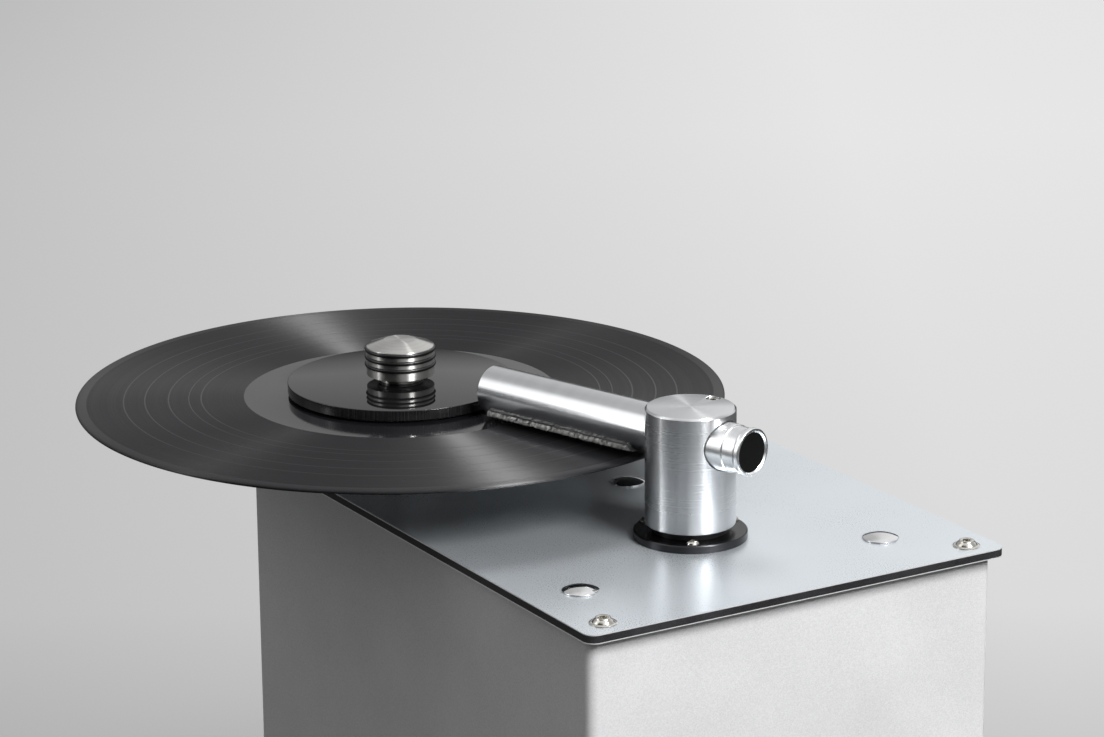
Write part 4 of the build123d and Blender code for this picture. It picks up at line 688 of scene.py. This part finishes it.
class CLEANER_OT_clamp(Operator):
    """Turn the clamp: acrylic disc, stepped steel knob and its rubber grip rings"""
    bl_idname = "cleaner.clamp"
    bl_label = "Record clamp"

    def execute(self, context):
        sizes = context.scene.cleaner_clamp
        low, high, r, bore_r = DISC_BOTTOM, DISC_TOP, DISC_R, 7.95
        outline = ([(bore_r, low), (r - 0.35, low), (r, low + 0.35), (r, high - 0.3)]
                   + arc(r - 0.3, high - 0.3, 0.3, 20, 90)
                   + [(bore_r + 0.25, high), (bore_r, high - 0.25), (bore_r, low)])
        acrylic = cast_acrylic(tuple(sizes.disc), r)
        disc = turned("acrylic_clamp_disc", outline, acrylic, SPINDLE, facets=224)
        wear(disc, acrylic, "clamp_plate", "black_acrylic", "clamp_disc")
        self.knob(sizes)
        self.rings(sizes)
        paint(moulded("clamp_pad_rubber", "#1A1A1A", (0.6, 0.7)), "clamp_pad")
        return {"FINISHED"}

    def knob(self, sizes):
        base, r, neck_r, foot_r = DISC_TOP, KNOB_R, 10.2, 6.3
        groove_r = mm(sizes.ring_section) / 2 + 0.05
        centre = RING_R - mm(sizes.ring_section) / 2
        reach = math.degrees(math.acos((r - centre) / groove_r))
        grip = [(11.0, base + 2.8), (r - 0.35, base + 2.8)] + arc(r - 0.35, base + 3.15, 0.35, -70, 0, 3)
        for i in range(GRIP_RINGS):
            height = base + mm(sizes.ring_start + i * sizes.ring_pitch)
            grip += arc(centre, height, groove_r, 360 - reach, reach, 14)
        profile = ([(SPINDLE_BORE_R, KNOB_BOTTOM), (foot_r, KNOB_BOTTOM), (foot_r, KNOB_BOTTOM + 0.5),
                    (7.9, KNOB_BOTTOM + 0.5), (7.9, base), (neck_r - 0.2, base), (neck_r, base + 0.2),
                    (neck_r, base + 1.3)]
                   + arc(neck_r - 0.2, base + 1.3, 0.2, 0, 90, 3) + [(10.8, base + 1.5), (11.0, base + 1.7)]
                   + grip + arc(r - 0.5, base + 15.9, 0.5, 5, 72, 5)
                   + [(7.7, KNOB_TOP - 0.03), (7.4, KNOB_TOP), (0.0, KNOB_TOP)])
        bore = [(0.0, base + 13.0), (SPINDLE_BORE_R, base + 12.0), (SPINDLE_BORE_R, KNOB_BOTTOM)]
        steel = turned_metal("turned_stainless_steel", tuple(sizes.steel), SPINDLE, rough=(0.37, 0.39),
                             spread=1.0, lines_mm=0.8, face=0.52)
        knob = turned("turned_clamp_knob", profile, steel, SPINDLE, facets=192, angle=24)
        join(knob, turned("knob_bore", bore, steel, SPINDLE, facets=64))
        wear(knob, steel, "knob", "stainless_steel", "clamp_knob")

    def rings(self, sizes):
        rubber = moulded("ring_rubber", tuple(sizes.rubber), (0.28, 0.38), 0.3, 0.01)
        section = mm(sizes.ring_section) / 2
        ring = turned("grip_ring", arc(RING_R - section, 0, section, 0, 360, 18), rubber, facets=128)
        places = [(*SPINDLE.xy, DISC_TOP * MM + sizes.ring_start + i * sizes.ring_pitch, 0.0)
                  for i in range(GRIP_RINGS)]
        rings = repeated("rubber_grip_rings", places, ring, rubber)
        wear(rings, rubber, "knob", "black_rubber", "knob_rings")


class CLEANER_OT_suction_arm(Operator):
    """Turn the suction arm: post with its sunk screw, slotted tube and flared tail"""
    bl_idname = "cleaner.suction_arm"
    bl_label = "Suction arm"

    def execute(self, context):
        metal = tuple(context.scene.cleaner_arm.metal)
        self.post(metal)
        self.tube(metal)
        self.tail(metal)
        plug = moulded("plug_rubber", "#070707", (0.75, 0.85), **{"Specular IOR Level": 0.1})
        paint(plug, "arm_plugs")
        self.screw()
        paint(moulded("swivel_acetal", "#151515", (0.35, 0.45)), "arm_swivel")
        return {"FINISHED"}

    def post(self, metal):
        finish = turned_metal("turned_aluminium_post", metal, POST)
        r, stem_r, top = POST_R, 9.95, POST_TOP
        profile = ([(0, POST_FOOT), (stem_r - 0.35, POST_FOOT), (stem_r, POST_FOOT + 0.35),
                    (stem_r, POST_BOTTOM), (r - 0.4, POST_BOTTOM), (r, POST_BOTTOM + 0.4), (r, top - 1.0)]
                   + arc(r - 0.12, top - 0.95, 0.12, 0, 45, 2) + arc(r - 1.0, top - 0.15, 0.15, 45, 90, 2)
                   + [(0, top)])
        post = turned("turned_arm_post", profile, finish, POST, facets=240, angle=20)
        # The clamping screw sits in a bore near the rim, over the tube.
        turn, screw_in, bore_r, floor = math.radians(19.5), 3.8, 3.2, top - 2.0
        screw = POST + Vector((math.cos(turn), math.sin(turn), 0)) * (r - screw_in) * MM
        bore = [(0, floor), (bore_r, floor), (bore_r, top - 0.25), (bore_r + 0.25, top + 0.01),
                (bore_r + 0.25, top + 1), (0, top + 1)]
        cut(post, turned("screw_bore", bore, finish, screw, facets=64))
        tunnel_r, beyond = TUBE_R + 0.15, r + 5
        tunnel = [(0, -beyond), (tunnel_r, -beyond), (tunnel_r, beyond), (0, beyond)]
        cut(post, turned("tube_tunnel", tunnel, finish, ARM_AXIS, ARM, facets=96))
        wear(post, finish, "arm", "turned_aluminium", "arm_post")

    def screw(self):
        """Button-headed screw sunk in the post's top."""
        steel = bare_metal("sunk_screw_steel", linear("#C4C1BB"), (0.1, 0.16), 0.8, 0.001, 0.95)
        place, r, shank_r = middle("arm_screw"), half_width("arm_screw"), 2.0
        low, high = heights("arm_screw")
        outline = [(shank_r - 0.2, low), (shank_r, low + 0.2), (shank_r, high - 1.45), (r - 0.2, high - 1.45),
                   (r, high - 1.3), (r, high - 0.6), (r - 0.15, high - 0.25), (r - 0.5, high - 0.05),
                   (2.0, high)]
        head = socket_head("sunk_head", outline, 1.3, 1.1)
        wear(repeated("sunk_post_screw", [(place.x, place.y, 0.0, 0.4)], head, steel), steel, "arm",
             "stainless_steel", "arm_screw")

    def tube(self, metal):
        finish = turned_metal("drawn_aluminium_tube", metal, ARM_AXIS, ARM, (0.2, 0.215), 0.1, 6.0, 0.96)
        inner = TUBE_R - TUBE_WALL
        profile = ([(inner, TUBE_BACK), (TUBE_R, TUBE_BACK), (TUBE_R, TUBE_REACH - 0.5)]
                   + arc(TUBE_R - 0.5, TUBE_REACH - 0.5, 0.5, 15, 90, 4)
                   + [(inner + 0.2, TUBE_REACH), (inner, TUBE_REACH - 0.2), (inner, TUBE_BACK)])
        tube = turned("slotted_suction_tube", profile, finish, ARM_AXIS, ARM, facets=144)
        cut(tube, self.slot_cutter(POST_R + 8.8, TUBE_REACH - 3.6, 1.5))
        wear(tube, finish, "arm", "turned_aluminium", "arm_tube")

    def slot_cutter(self, start, end, half):
        """Round-ended block that reaches from the tube's axis down through its wall."""
        outline = arc(end - half, 0, half, -90, 90, 10) + arc(start + half, 0, half, 90, 270, 10)
        work = bmesh.new()
        lower, upper = ([work.verts.new(ARM_AXIS + ARM * x * MM + SIDE * y * MM - UP * depth * MM)
                         for x, y in outline] for depth in (20, 0))
        work.faces.new(lower)
        work.faces.new(upper)
        for i in range(len(outline)):
            work.faces.new((lower[i - 1], lower[i], upper[i], upper[i - 1]))
        mesh = mesh_from(work, "slot")
        crisp(mesh)
        return place_object("slot", mesh)

    def tail(self, metal):
        # Painted highlight: the tail is the arm's own turned aluminium, painted a fifth lighter so that it reads
        # brighter.
        finish = turned_metal("turned_aluminium_tail_painted_lighter", tint(metal, 1.2), ARM_AXIS, ARM, (0.3, 0.32), 0.2, 0.8)
        r, collar_end, waist_r = TAIL_R, -25.0, 10.2
        profile = ([(TAIL_BORE_R, TUBE_BACK), (r, TUBE_BACK), (r, collar_end)]
                   + arc(r - 0.3, collar_end - 0.2, 0.3, 0, -80, 3)
                   + [(waist_r, collar_end - 0.6), (waist_r, -31.0), (10.25, -31.9), (r, -32.6), (r, -34.0)]
                   + arc(r - 0.4, -34.2, 0.4, 0, -80, 3)
                   + [(9.6, TAIL_END), (TAIL_BORE_R, TAIL_END + 0.7), (TAIL_BORE_R, TUBE_BACK)])
        tail = turned("flared_tube_tail", profile, finish, ARM_AXIS, ARM, facets=144)
        wear(tail, finish, "arm", "turned_aluminium", "arm_tail")


class CLEANER_OT_velvet_strips(Operator):
    """Lay the velvet strips beside the slot and raise their pile"""
    bl_idname = "cleaner.velvet_strips"
    bl_label = "Velvet strips"

    def execute(self, context):
        sizes = context.scene.cleaner_arm
        glue, face, nap_root, nap_edge = 0.05, 0.78, 0.6, 50
        cloth = fibrous("velvet_backing", tint(tuple(sizes.pile), 0.3), 0.6)
        backing = place_object("velvet_backing", self.strips(STRIP_FAR, glue, face))
        wear(backing, cloth, "arm", "velvet", "velvet_strips")
        pile = bright_pile(tuple(sizes.pile))
        tufts = grow("velvet_tufts", self.strips(nap_edge, nap_root), "velvet_pile",
                     Spacing=sizes.tuft_spacing, Length=sizes.pile_length, Seed=7, Finish=pile)
        wear(tufts, pile, "arm", "velvet")
        return {"FINISHED"}

    def strips(self, far, *depths):
        """Strips bent round the tube beside the slot: closed between two depths, or a single sheet."""
        work = bmesh.new()
        there = range(STRIP_STEPS + 1)
        for side in (-1, 1):
            rows = []
            for depth, steps in zip(depths, (there, reversed(there))):
                for step in steps:
                    turn = math.radians(STRIP_NEAR + (far - STRIP_NEAR) * step / STRIP_STEPS) * side
                    out = (SIDE * math.sin(turn) - UP * math.cos(turn)) * (TUBE_R + depth) * MM
                    rows.append([work.verts.new(ARM_AXIS + out + ARM * x * MM) for x in STRIP_ENDS])
            for a, b in zip(rows, rows[1:]):
                work.faces.new((a[0], a[1], b[1], b[0]))
            if len(depths) > 1:
                work.faces.new((rows[-1][0], rows[-1][1], rows[0][1], rows[0][0]))
                last = len(rows) - 1
                for end in (0, 1):
                    for i in range(STRIP_STEPS):
                        work.faces.new([rows[k][end] for k in (i, i + 1, last - 1 - i, last - i)])
        if len(depths) > 1:
            bmesh.ops.recalc_face_normals(work, faces=work.faces)
        else:
            work.normal_update()
            for face in work.faces:
                off = face.calc_center_median() - ARM_AXIS
                if face.normal.dot(off - ARM * off.dot(ARM)) < 0:
                    face.normal_flip()
        return mesh_from(work, "velvet_strip")


class CLEANER_OT_arm_base(Operator):
    """Give the arm's base ring its turned black finish"""
    bl_idname = "cleaner.arm_base"
    bl_label = "Arm base ring"

    def execute(self, context):
        # Dyed anodising over turned aluminium: dark, with a metal's highlights.
        base = tuple(context.scene.cleaner_arm.base)
        paint(turned_metal("black_anodised_ring", tint(base, 5.5), POST, rough=(0.28, 0.34), spread=0.6,
                           contrast=0.85), "arm_base_bush")
        return {"FINISHED"}


class CLEANER_OT_top_panel(Operator):
    """Give the top panel its satin skins and filled core"""
    bl_idname = "cleaner.top_panel"
    bl_label = "Top panel"

    def execute(self, context):
        sizes = context.scene.cleaner_case
        paint(satin_skin(tuple(sizes.plate)), "top_panel_skins")
        # The sawn core shows its pale filler as coarse specks.
        paint(moulded("filled_polyethylene_core", tuple(sizes.core), (0.45, 0.6), 0.7, 0.08, (0.3, 2.6)),
              "top_panel_core")
        return {"FINISHED"}


class CLEANER_OT_case(Operator):
    """Coat the folded case, rear panel and base plate, and finish the feet"""
    bl_idname = "cleaner.case"
    bl_label = "Case and feet"

    def execute(self, context):
        coat = powder_coat(tuple(context.scene.cleaner_case.coat))
        paint(coat, "case_wrap", "base_plate", "rear_panel")
        paint(moulded("foot_rubber", "#191919", (0.6, 0.75), 0.8, 0.04), "feet")
        return {"FINISHED"}


class CLEANER_OT_fasteners(Operator):
    """Set the panel screws, base screws and chromed cover caps"""
    bl_idname = "cleaner.fasteners"
    bl_label = "Screws and caps"

    def execute(self, context):
        sizes = context.scene.cleaner_case
        steel = bare_metal("stainless_screw_steel", tuple(sizes.screw), (0.1, 0.16), 0.8, 0.001, 0.95)
        self.panel_screws(steel)
        self.base_screws(steel)
        self.caps(tuple(sizes.cap))
        return {"FINISHED"}

    def panel_screws(self, steel):
        """Flanged button heads at the panel's corners."""
        low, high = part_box("top_panel_screws")
        flange_r, shank_r, end = 5.9, 2.5, PANEL_SCREW_END
        inset = flange_r * MM
        corners = [(x, y) for x in (low.x + inset, high.x - inset) for y in (low.y + inset, high.y - inset)]
        places = [(x, y, PLATE_TOP * MM, 0.3 + i) for i, (x, y) in enumerate(corners)]
        outline = ([(shank_r - 0.3, end), (shank_r, end + 0.3), (shank_r, 0.0), (flange_r - 0.3, 0.0),
                    (flange_r, 0.15), (flange_r, 0.4), (flange_r - 0.3, 0.6), (4.9, 0.72)]
                   + arc(0.0, -2.2, 5.6, 31, 52, 5) + [(3.25, 2.58), (2.9, 2.75), (2.45, 2.72)])
        heads = repeated("panel_screw_heads", places, socket_head("flanged_head", outline, 1.62, 1.7), steel)
        wear(heads, steel, "chassis", "stainless_steel", "top_panel_screws")

    def base_screws(self, steel):
        """Three small button heads round the arm's base ring."""
        circle_r, head_r, shank_r, end = 21.75 * MM, 3.0, 1.5, BASE_SCREW_END
        places = [(POST.x + circle_r * math.cos(a), POST.y + circle_r * math.sin(a), RING_TOP * MM, a + 0.2)
                  for a in (0.0, math.tau / 3, 2 * math.tau / 3)]
        outline = [(shank_r - 0.2, end), (shank_r, end + 0.2), (shank_r, 0.0), (head_r - 0.25, 0.0),
                   (head_r, 0.2), (head_r, 0.36), (2.85, 0.75), (2.5, 1.2), (2.0, 1.55), (1.5, 1.65), (1.25, 1.6)]
        heads = repeated("base_screw_heads", places, socket_head("button_head", outline, 0.92, 0.9), steel)
        wear(heads, steel, "chassis", "stainless_steel", "arm_base_screws")

    def caps(self, colour):
        """Domed caps over the bolts that hang the tank."""
        # Bright chrome over formed brass: a mirror with a faint haze.
        chrome = bare_metal("bright_chrome", colour, (0.05, 0.09), 1.5, 0.002, 0.94)
        under = [(0, 1.5), (3.0, 1.3), (5.0, 0.9), (6.6, 0.4), (7.2, 0.02)]
        dome = ([(7.75, 0.0), (8.0, 0.2), (8.0, 0.42)] + arc(7.7, 0.45, 0.3, 0, 60, 3)
                + [(7.2, 0.92), (6.4, 1.24), (5.3, 1.58), (4.0, 1.87), (2.6, 2.07), (1.2, 2.17), (0, 2.2)])
        cap = turned("cover_cap", under + dome, chrome, facets=96, angle=40)
        from_post = ((-78.18, -36.31), (68.5, -47.1), (17.1, 79.7))
        places = [(POST.x + x * MM, POST.y + y * MM, PLATE_TOP * MM, 0.0) for x, y in from_post]
        wear(repeated("chromed_caps", places, cap, chrome), chrome, "chassis", "chrome_plate", "cover_caps")


class CLEANER_OT_inner_works(Operator):
    """Finish the drive, vacuum, tank, hoses, board and rear fittings"""
    bl_idname = "cleaner.inner_works"
    bl_label = "Inner works and rear fittings"

    def execute(self, context):
        # Cast and machined aluminium: pale, with a 0.5 mm milled grain.
        paint(bare_metal("machined_aluminium", linear("#C9CBCD"), (0.32, 0.45), 0.5),
              "platter", "bearing_housing", "motor_standoffs", "gearbox_case", "corner_blocks", "fan_motor",
              "shaft_coupling")
        # Ground shaft steel: bright, finely lined round the shaft.
        paint(turned_metal("ground_shaft_steel", linear("#C4C4C4"), SPINDLE, rough=(0.12, 0.2)),
              "spindle", "gearbox_shaft")
        # Zinc plating: grey with a warm, cloudy lustre.
        paint(bare_metal("zinc_plated_steel", linear("#B4B5B0"), (0.25, 0.4), 1.2),
              "case_screws", "base_screws", "hanger_bolts", "bearing_screws", "motor_bracket", "clamp_clip")
        # Oil-filled bronze is dull and porous, and rolled brass is bright and yellow.
        paint(bare_metal("sintered_bronze", linear("#A87B45"), (0.35, 0.5), 0.3, 0.02), "spindle_bushes")
        paint(bare_metal("rolled_brass", linear("#CBB06A"), (0.2, 0.3), 0.5),
              "inlet_blades", "board_standoffs")
        # Smooth black enamel, stoved over the motor's drawn steel can.
        paint(moulded("stoved_enamel", "#26262A", (0.25, 0.35), 1.0), "platter_motor")
        # Moulded nylon and ABS with an eroded satin grain.
        paint(moulded("black_abs", "#1C1C1D", (0.38, 0.5)), "fan_housing", "impeller", "tank_lid",
              "drain_spigot", "exhaust_grille", "mains_inlet", "switch_housings")
        paint(moulded("switch_rocker_nylon", "#232324", (0.3, 0.4)), "direction_rocker", "vacuum_rocker")
        # Blow-moulded polyethylene: milky, waxy and softly lit through.
        paint(moulded("natural_polyethylene", "#D9D8D0", (0.4, 0.5), 1.5, 0.03, **{"Subsurface Weight": 0.2}),
              "waste_tank")
        paint(moulded("hose_rubber", "#1B1B1B", (0.5, 0.6), 0.8), "suction_hose", "drain_hose", "drain_cap",
              "fan_mount_ring", "hanger_bushes")
        paint(board_laminate(linear("#1F5A35")), "power_board")
        paint(moulded("board_component_plastic", "#2B3550", (0.3, 0.45)), "board_parts")
        self.mat()
        return {"FINISHED"}

    def mat(self):
        """Felt mat: soft rounded edge, a recess for the record's raised land and a hole for the spindle."""
        felt = fibrous("wool_felt", linear("#2A2A2C"), 0.7, 0.2)
        low, high = heights("platter_mat")
        r, hole, recess, recess_depth, edge = half_width("platter_mat"), 3.85, 51.3, 0.5, 0.9
        profile = ([(hole, low), (r - 0.4, low), (r - 0.08, low + 0.35)]
                   + arc(r - edge, high - edge, edge, 10, 90, 6)
                   + [(recess + 0.4, high), (recess, high - 0.15), (recess - 0.2, high - recess_depth),
                      (hole, high - recess_depth), (hole, low)])
        mat = turned("felt_platter_mat", profile, felt, SPINDLE, facets=192)
        wear(mat, felt, "turntable", "felt", "platter_mat")


class CLEANER_OT_stage(Operator):
    """Set the floor, the lights, the surroundings and the camera"""
    bl_idname = "cleaner.stage"
    bl_label = "Studio"

    def execute(self, context):
        sizes = context.scene.cleaner_stage
        context.scene.view_settings.view_transform = "Standard"
        self.camera(context.scene, sizes.lens)
        self.floor(tuple(sizes.floor))
        self.surroundings(context.scene)
        self.light("edge_light", (0.12, 1.4), 161, 18, 2.0, sizes.edge_power)
        # Shiny surfaces see the surroundings instead of the two large lights.
        for name, side, azimuth, elevation, power in (("key_light", 0.95, 285, 38, sizes.key_power),
                                                      ("top_light", 0.9, 62, 64, sizes.top_power)):
            self.light(name, (side, side), azimuth, elevation, 2.3, power).visible_glossy = False
        # A small high light rakes the grooves; matt surfaces don't see it.
        groove = self.light("groove_light", (0.4, 0.4), 287, 46, 2.0, sizes.groove_power)
        groove.visible_diffuse = False
        return {"FINISHED"}

    def camera(self, scene, lens):
        yaw, pitch, roll = (math.radians(degrees) for degrees in (30.616, 16.102, 0.47))
        place = Vector((-793.12, -1419.14, 715.14)) * MM
        ahead = Vector((math.sin(yaw) * math.cos(pitch), math.cos(yaw) * math.cos(pitch), -math.sin(pitch)))
        right = Vector((math.cos(yaw), -math.sin(yaw), 0))
        down = ahead.cross(right)
        rolled = right * math.cos(roll) + down * math.sin(roll)
        lowered = down * math.cos(roll) - right * math.sin(roll)
        data = bpy.data.cameras.new("camera")
        data.lens = lens
        data.sensor_width = 36
        data.clip_end = 50
        camera = place_object("camera", data)
        camera.matrix_world = (Matrix.Translation(place)
                               @ Matrix((rolled, -lowered, -ahead)).transposed().to_4x4())
        scene.camera = camera

    def floor(self, colour):
        """Seamless floor that the camera sees glowing evenly away from the machine, with painted shade that
        darkens it to the left and in front.
        """
        material, tree, shader, place = new_finish("studio_floor")
        # Painted shade: the floor's tones darken to the left and towards the front, along and across the line of
        # sight, standing in for light that falls off there.
        across, ahead = (add(tree, VECTOR, {0: place, 1: way}, operation="DOT_PRODUCT").outputs["Value"]
                         for way in ((0.86, -0.51, 0.0), (0.51, 0.86, 0.0)))
        side = add(tree, RANGE, {"Value": across, "From Min": -0.7, "From Max": 0.3})
        painted_side_shade = add(tree, MIX, {0: side, 6: tint(colour, 0.58), 7: colour}, data_type="RGBA")
        # Painted shade: darker towards the front, and darker still just in front of the machine.
        depth, near = (add(tree, RANGE, {"Value": ahead, "From Min": start, "From Max": end, "To Min": dark})
                       for start, end, dark in ((0.0, 1.6, 0.84), (0.1, 0.36, 0.82)))
        painted_front_shade = add(tree, MATH, {0: depth, 1: near}, operation="MULTIPLY")
        shaded_floor_paint = add(tree, MIX, {0: 1.0, 6: painted_side_shade, 7: painted_front_shade}, data_type="RGBA", blend_type="MULTIPLY")
        seen = add(tree, "ShaderNodeLightPath").outputs["Is Camera Ray"]
        # Only the camera sees the paint: for all else the floor is dark, so little light comes up from it.
        bounced = add(tree, MIX, {0: seen, 6: tint(colour, 0.05), 7: shaded_floor_paint}, data_type="RGBA")
        feed(shader, {"Base Color": bounced, "Roughness": 0.8})
        # The camera-ray glow carries the same painted shade.
        glow = add(tree, "ShaderNodeEmission", {"Color": shaded_floor_paint})
        reach = add(tree, VECTOR, {0: place}, operation="LENGTH").outputs["Value"]
        away = add(tree, RANGE, {"Value": reach, "From Min": 0.12, "From Max": 0.3, "To Max": 0.97},
                   interpolation_type="SMOOTHSTEP")
        share = add(tree, MATH, {0: away, 1: seen}, operation="MULTIPLY")
        feed(tree.nodes["Material Output"],
             {"Surface": add(tree, "ShaderNodeMixShader", {0: share, 1: shader, 2: glow})})
        work = bmesh.new()
        bmesh.ops.create_circle(work, cap_ends=True, segments=96, radius=14)
        floor = place_object("studio_floor", mesh_from(work, "studio_floor"))
        floor.data.materials.append(material)

    def surroundings(self, scene):
        """Soft grey surroundings, dark on the left and far right as flags would make them."""
        world = bpy.data.worlds.new("studio")
        scene.world = world
        world.use_nodes = True
        tree = world.node_tree
        tree.nodes.clear()
        way = add(tree, "ShaderNodeTexCoord").outputs["Generated"]
        part = add(tree, "ShaderNodeSeparateXYZ", {0: way}).outputs
        turn = add(tree, MATH, {0: part[1], 1: part[0]}, operation="ARCTAN2")
        share = add(tree, MATH, {0: turn, 1: math.tau}, operation="DIVIDE")
        whole = add(tree, MATH, {0: share}, operation="FRACT")
        sides = add(tree, "ShaderNodeValToRGB", {0: whole})
        # Each stop: direction in degrees, what shiny surfaces see there, and the light it gives.
        stops = ((20, 0.9, 0.06), (40, 0.95, 0.06), (52, 0.82, 0.06), (62, 0.57, 0.06), (100, 0.42, 0.15),
                 (126, 0.45, 0.36), (137, 1.3, 0.45), (168, 1.3, 0.5), (175, 0.05, 0.4), (228, 0.03, 0.2),
                 (246, 1.0, 0.5), (284, 1.1, 0.9), (306, 0.85, 0.6), (318, 0.55, 0.4), (330, 0.5, 0.08),
                 (352, 0.5, 0.06))
        for degrees, shine, light in stops:
            sides.color_ramp.elements.new(degrees / 360).color = (shine, shine, shine, light)
        for end in (0, -1):
            sides.color_ramp.elements[end].color = (0.78, 0.78, 0.78, 0.06)
        # Near the horizon the room is dim, and its light comes from higher up than its reflections do.
        lift, rise, high = (add(tree, RANGE, {"Value": part[2], "From Min": start, "From Max": end})
                            for start, end in ((0.74, 0.97), (0.1, 0.25), (0.3, 0.65)))
        walls = add(tree, MIX, {0: 1.0, 6: sides.outputs[0], 7: rise}, data_type="RGBA",
                    blend_type="MULTIPLY")
        sky = add(tree, MIX, {0: lift, 6: walls, 7: (1.0, 1.0, 1.0, 1)}, data_type="RGBA")
        lamp = add(tree, MATH, {0: sides.outputs["Alpha"], 1: high}, operation="MULTIPLY")
        soft = add(tree, MIX, {0: lift, 2: lamp, 3: 0.12})
        path = add(tree, "ShaderNodeLightPath").outputs
        dim = add(tree, MIX, {0: path["Is Diffuse Ray"], 6: sky, 7: soft}, data_type="RGBA")
        seen = add(tree, MIX, {0: path["Is Camera Ray"], 6: dim, 7: (0.72, 0.72, 0.73, 1)}, data_type="RGBA")
        back = add(tree, "ShaderNodeBackground", {"Color": seen})
        add(tree, "ShaderNodeOutputWorld", {"Surface": back})

    def light(self, name, size, azimuth, elevation, distance, power):
        """Rectangular lamp at a direction and distance from the machine's middle."""
        data = bpy.data.lights.new(name, "AREA")
        data.shape = "RECTANGLE"
        data.size, data.size_y = size
        data.energy = power
        turn, rise = math.radians(azimuth), math.radians(elevation)
        way = Vector((math.cos(turn) * math.cos(rise), math.sin(turn) * math.cos(rise), math.sin(rise)))
        lamp = place_object(name, data)
        lamp.location = way * distance + Vector((0, 0, 0.2))
        lamp.rotation_euler = way.to_track_quat("Z", "Y").to_euler()
        lamp.visible_camera = False
        return lamp


OPERATORS = (CLEANER_OT_record, CLEANER_OT_clamp, CLEANER_OT_suction_arm, CLEANER_OT_velvet_strips,
             CLEANER_OT_arm_base, CLEANER_OT_top_panel, CLEANER_OT_case, CLEANER_OT_fasteners,
             CLEANER_OT_inner_works, CLEANER_OT_stage)
GROUPS = {"cleaner_record": CleanerRecord, "cleaner_clamp": CleanerClamp, "cleaner_arm": CleanerArm,
          "cleaner_case": CleanerCase, "cleaner_stage": CleanerStage}


class CLEANER_PT_parts(Panel):
    """Sizes, colours and operators of the record cleaning machine"""
    bl_idname = "CLEANER_PT_parts"
    bl_label = "Record cleaning machine"
    bl_space_type = "VIEW_3D"
    bl_region_type = "UI"
    bl_category = "Cleaning machine"

    def draw(self, context):
        for name, group in GROUPS.items():
            box = self.layout.box()
            for key in group.__annotations__:
                box.prop(getattr(context.scene, name), key)
        for operator in OPERATORS:
            self.layout.operator(operator.bl_idname)


def register():
    for kind in (*GROUPS.values(), *OPERATORS, CLEANER_PT_parts):
        bpy.utils.register_class(kind)
    for name, group in GROUPS.items():
        setattr(bpy.types.Scene, name, PointerProperty(type=group))


def unregister():
    for name in GROUPS:
        delattr(bpy.types.Scene, name)
    for kind in reversed((*GROUPS.values(), *OPERATORS, CLEANER_PT_parts)):
        bpy.utils.unregister_class(kind)


def main():
    register()
    for operator in OPERATORS:
        group, name = operator.bl_idname.split(".")
        getattr(getattr(bpy.ops, group), name)()


if __name__ == "__main__":
    main()
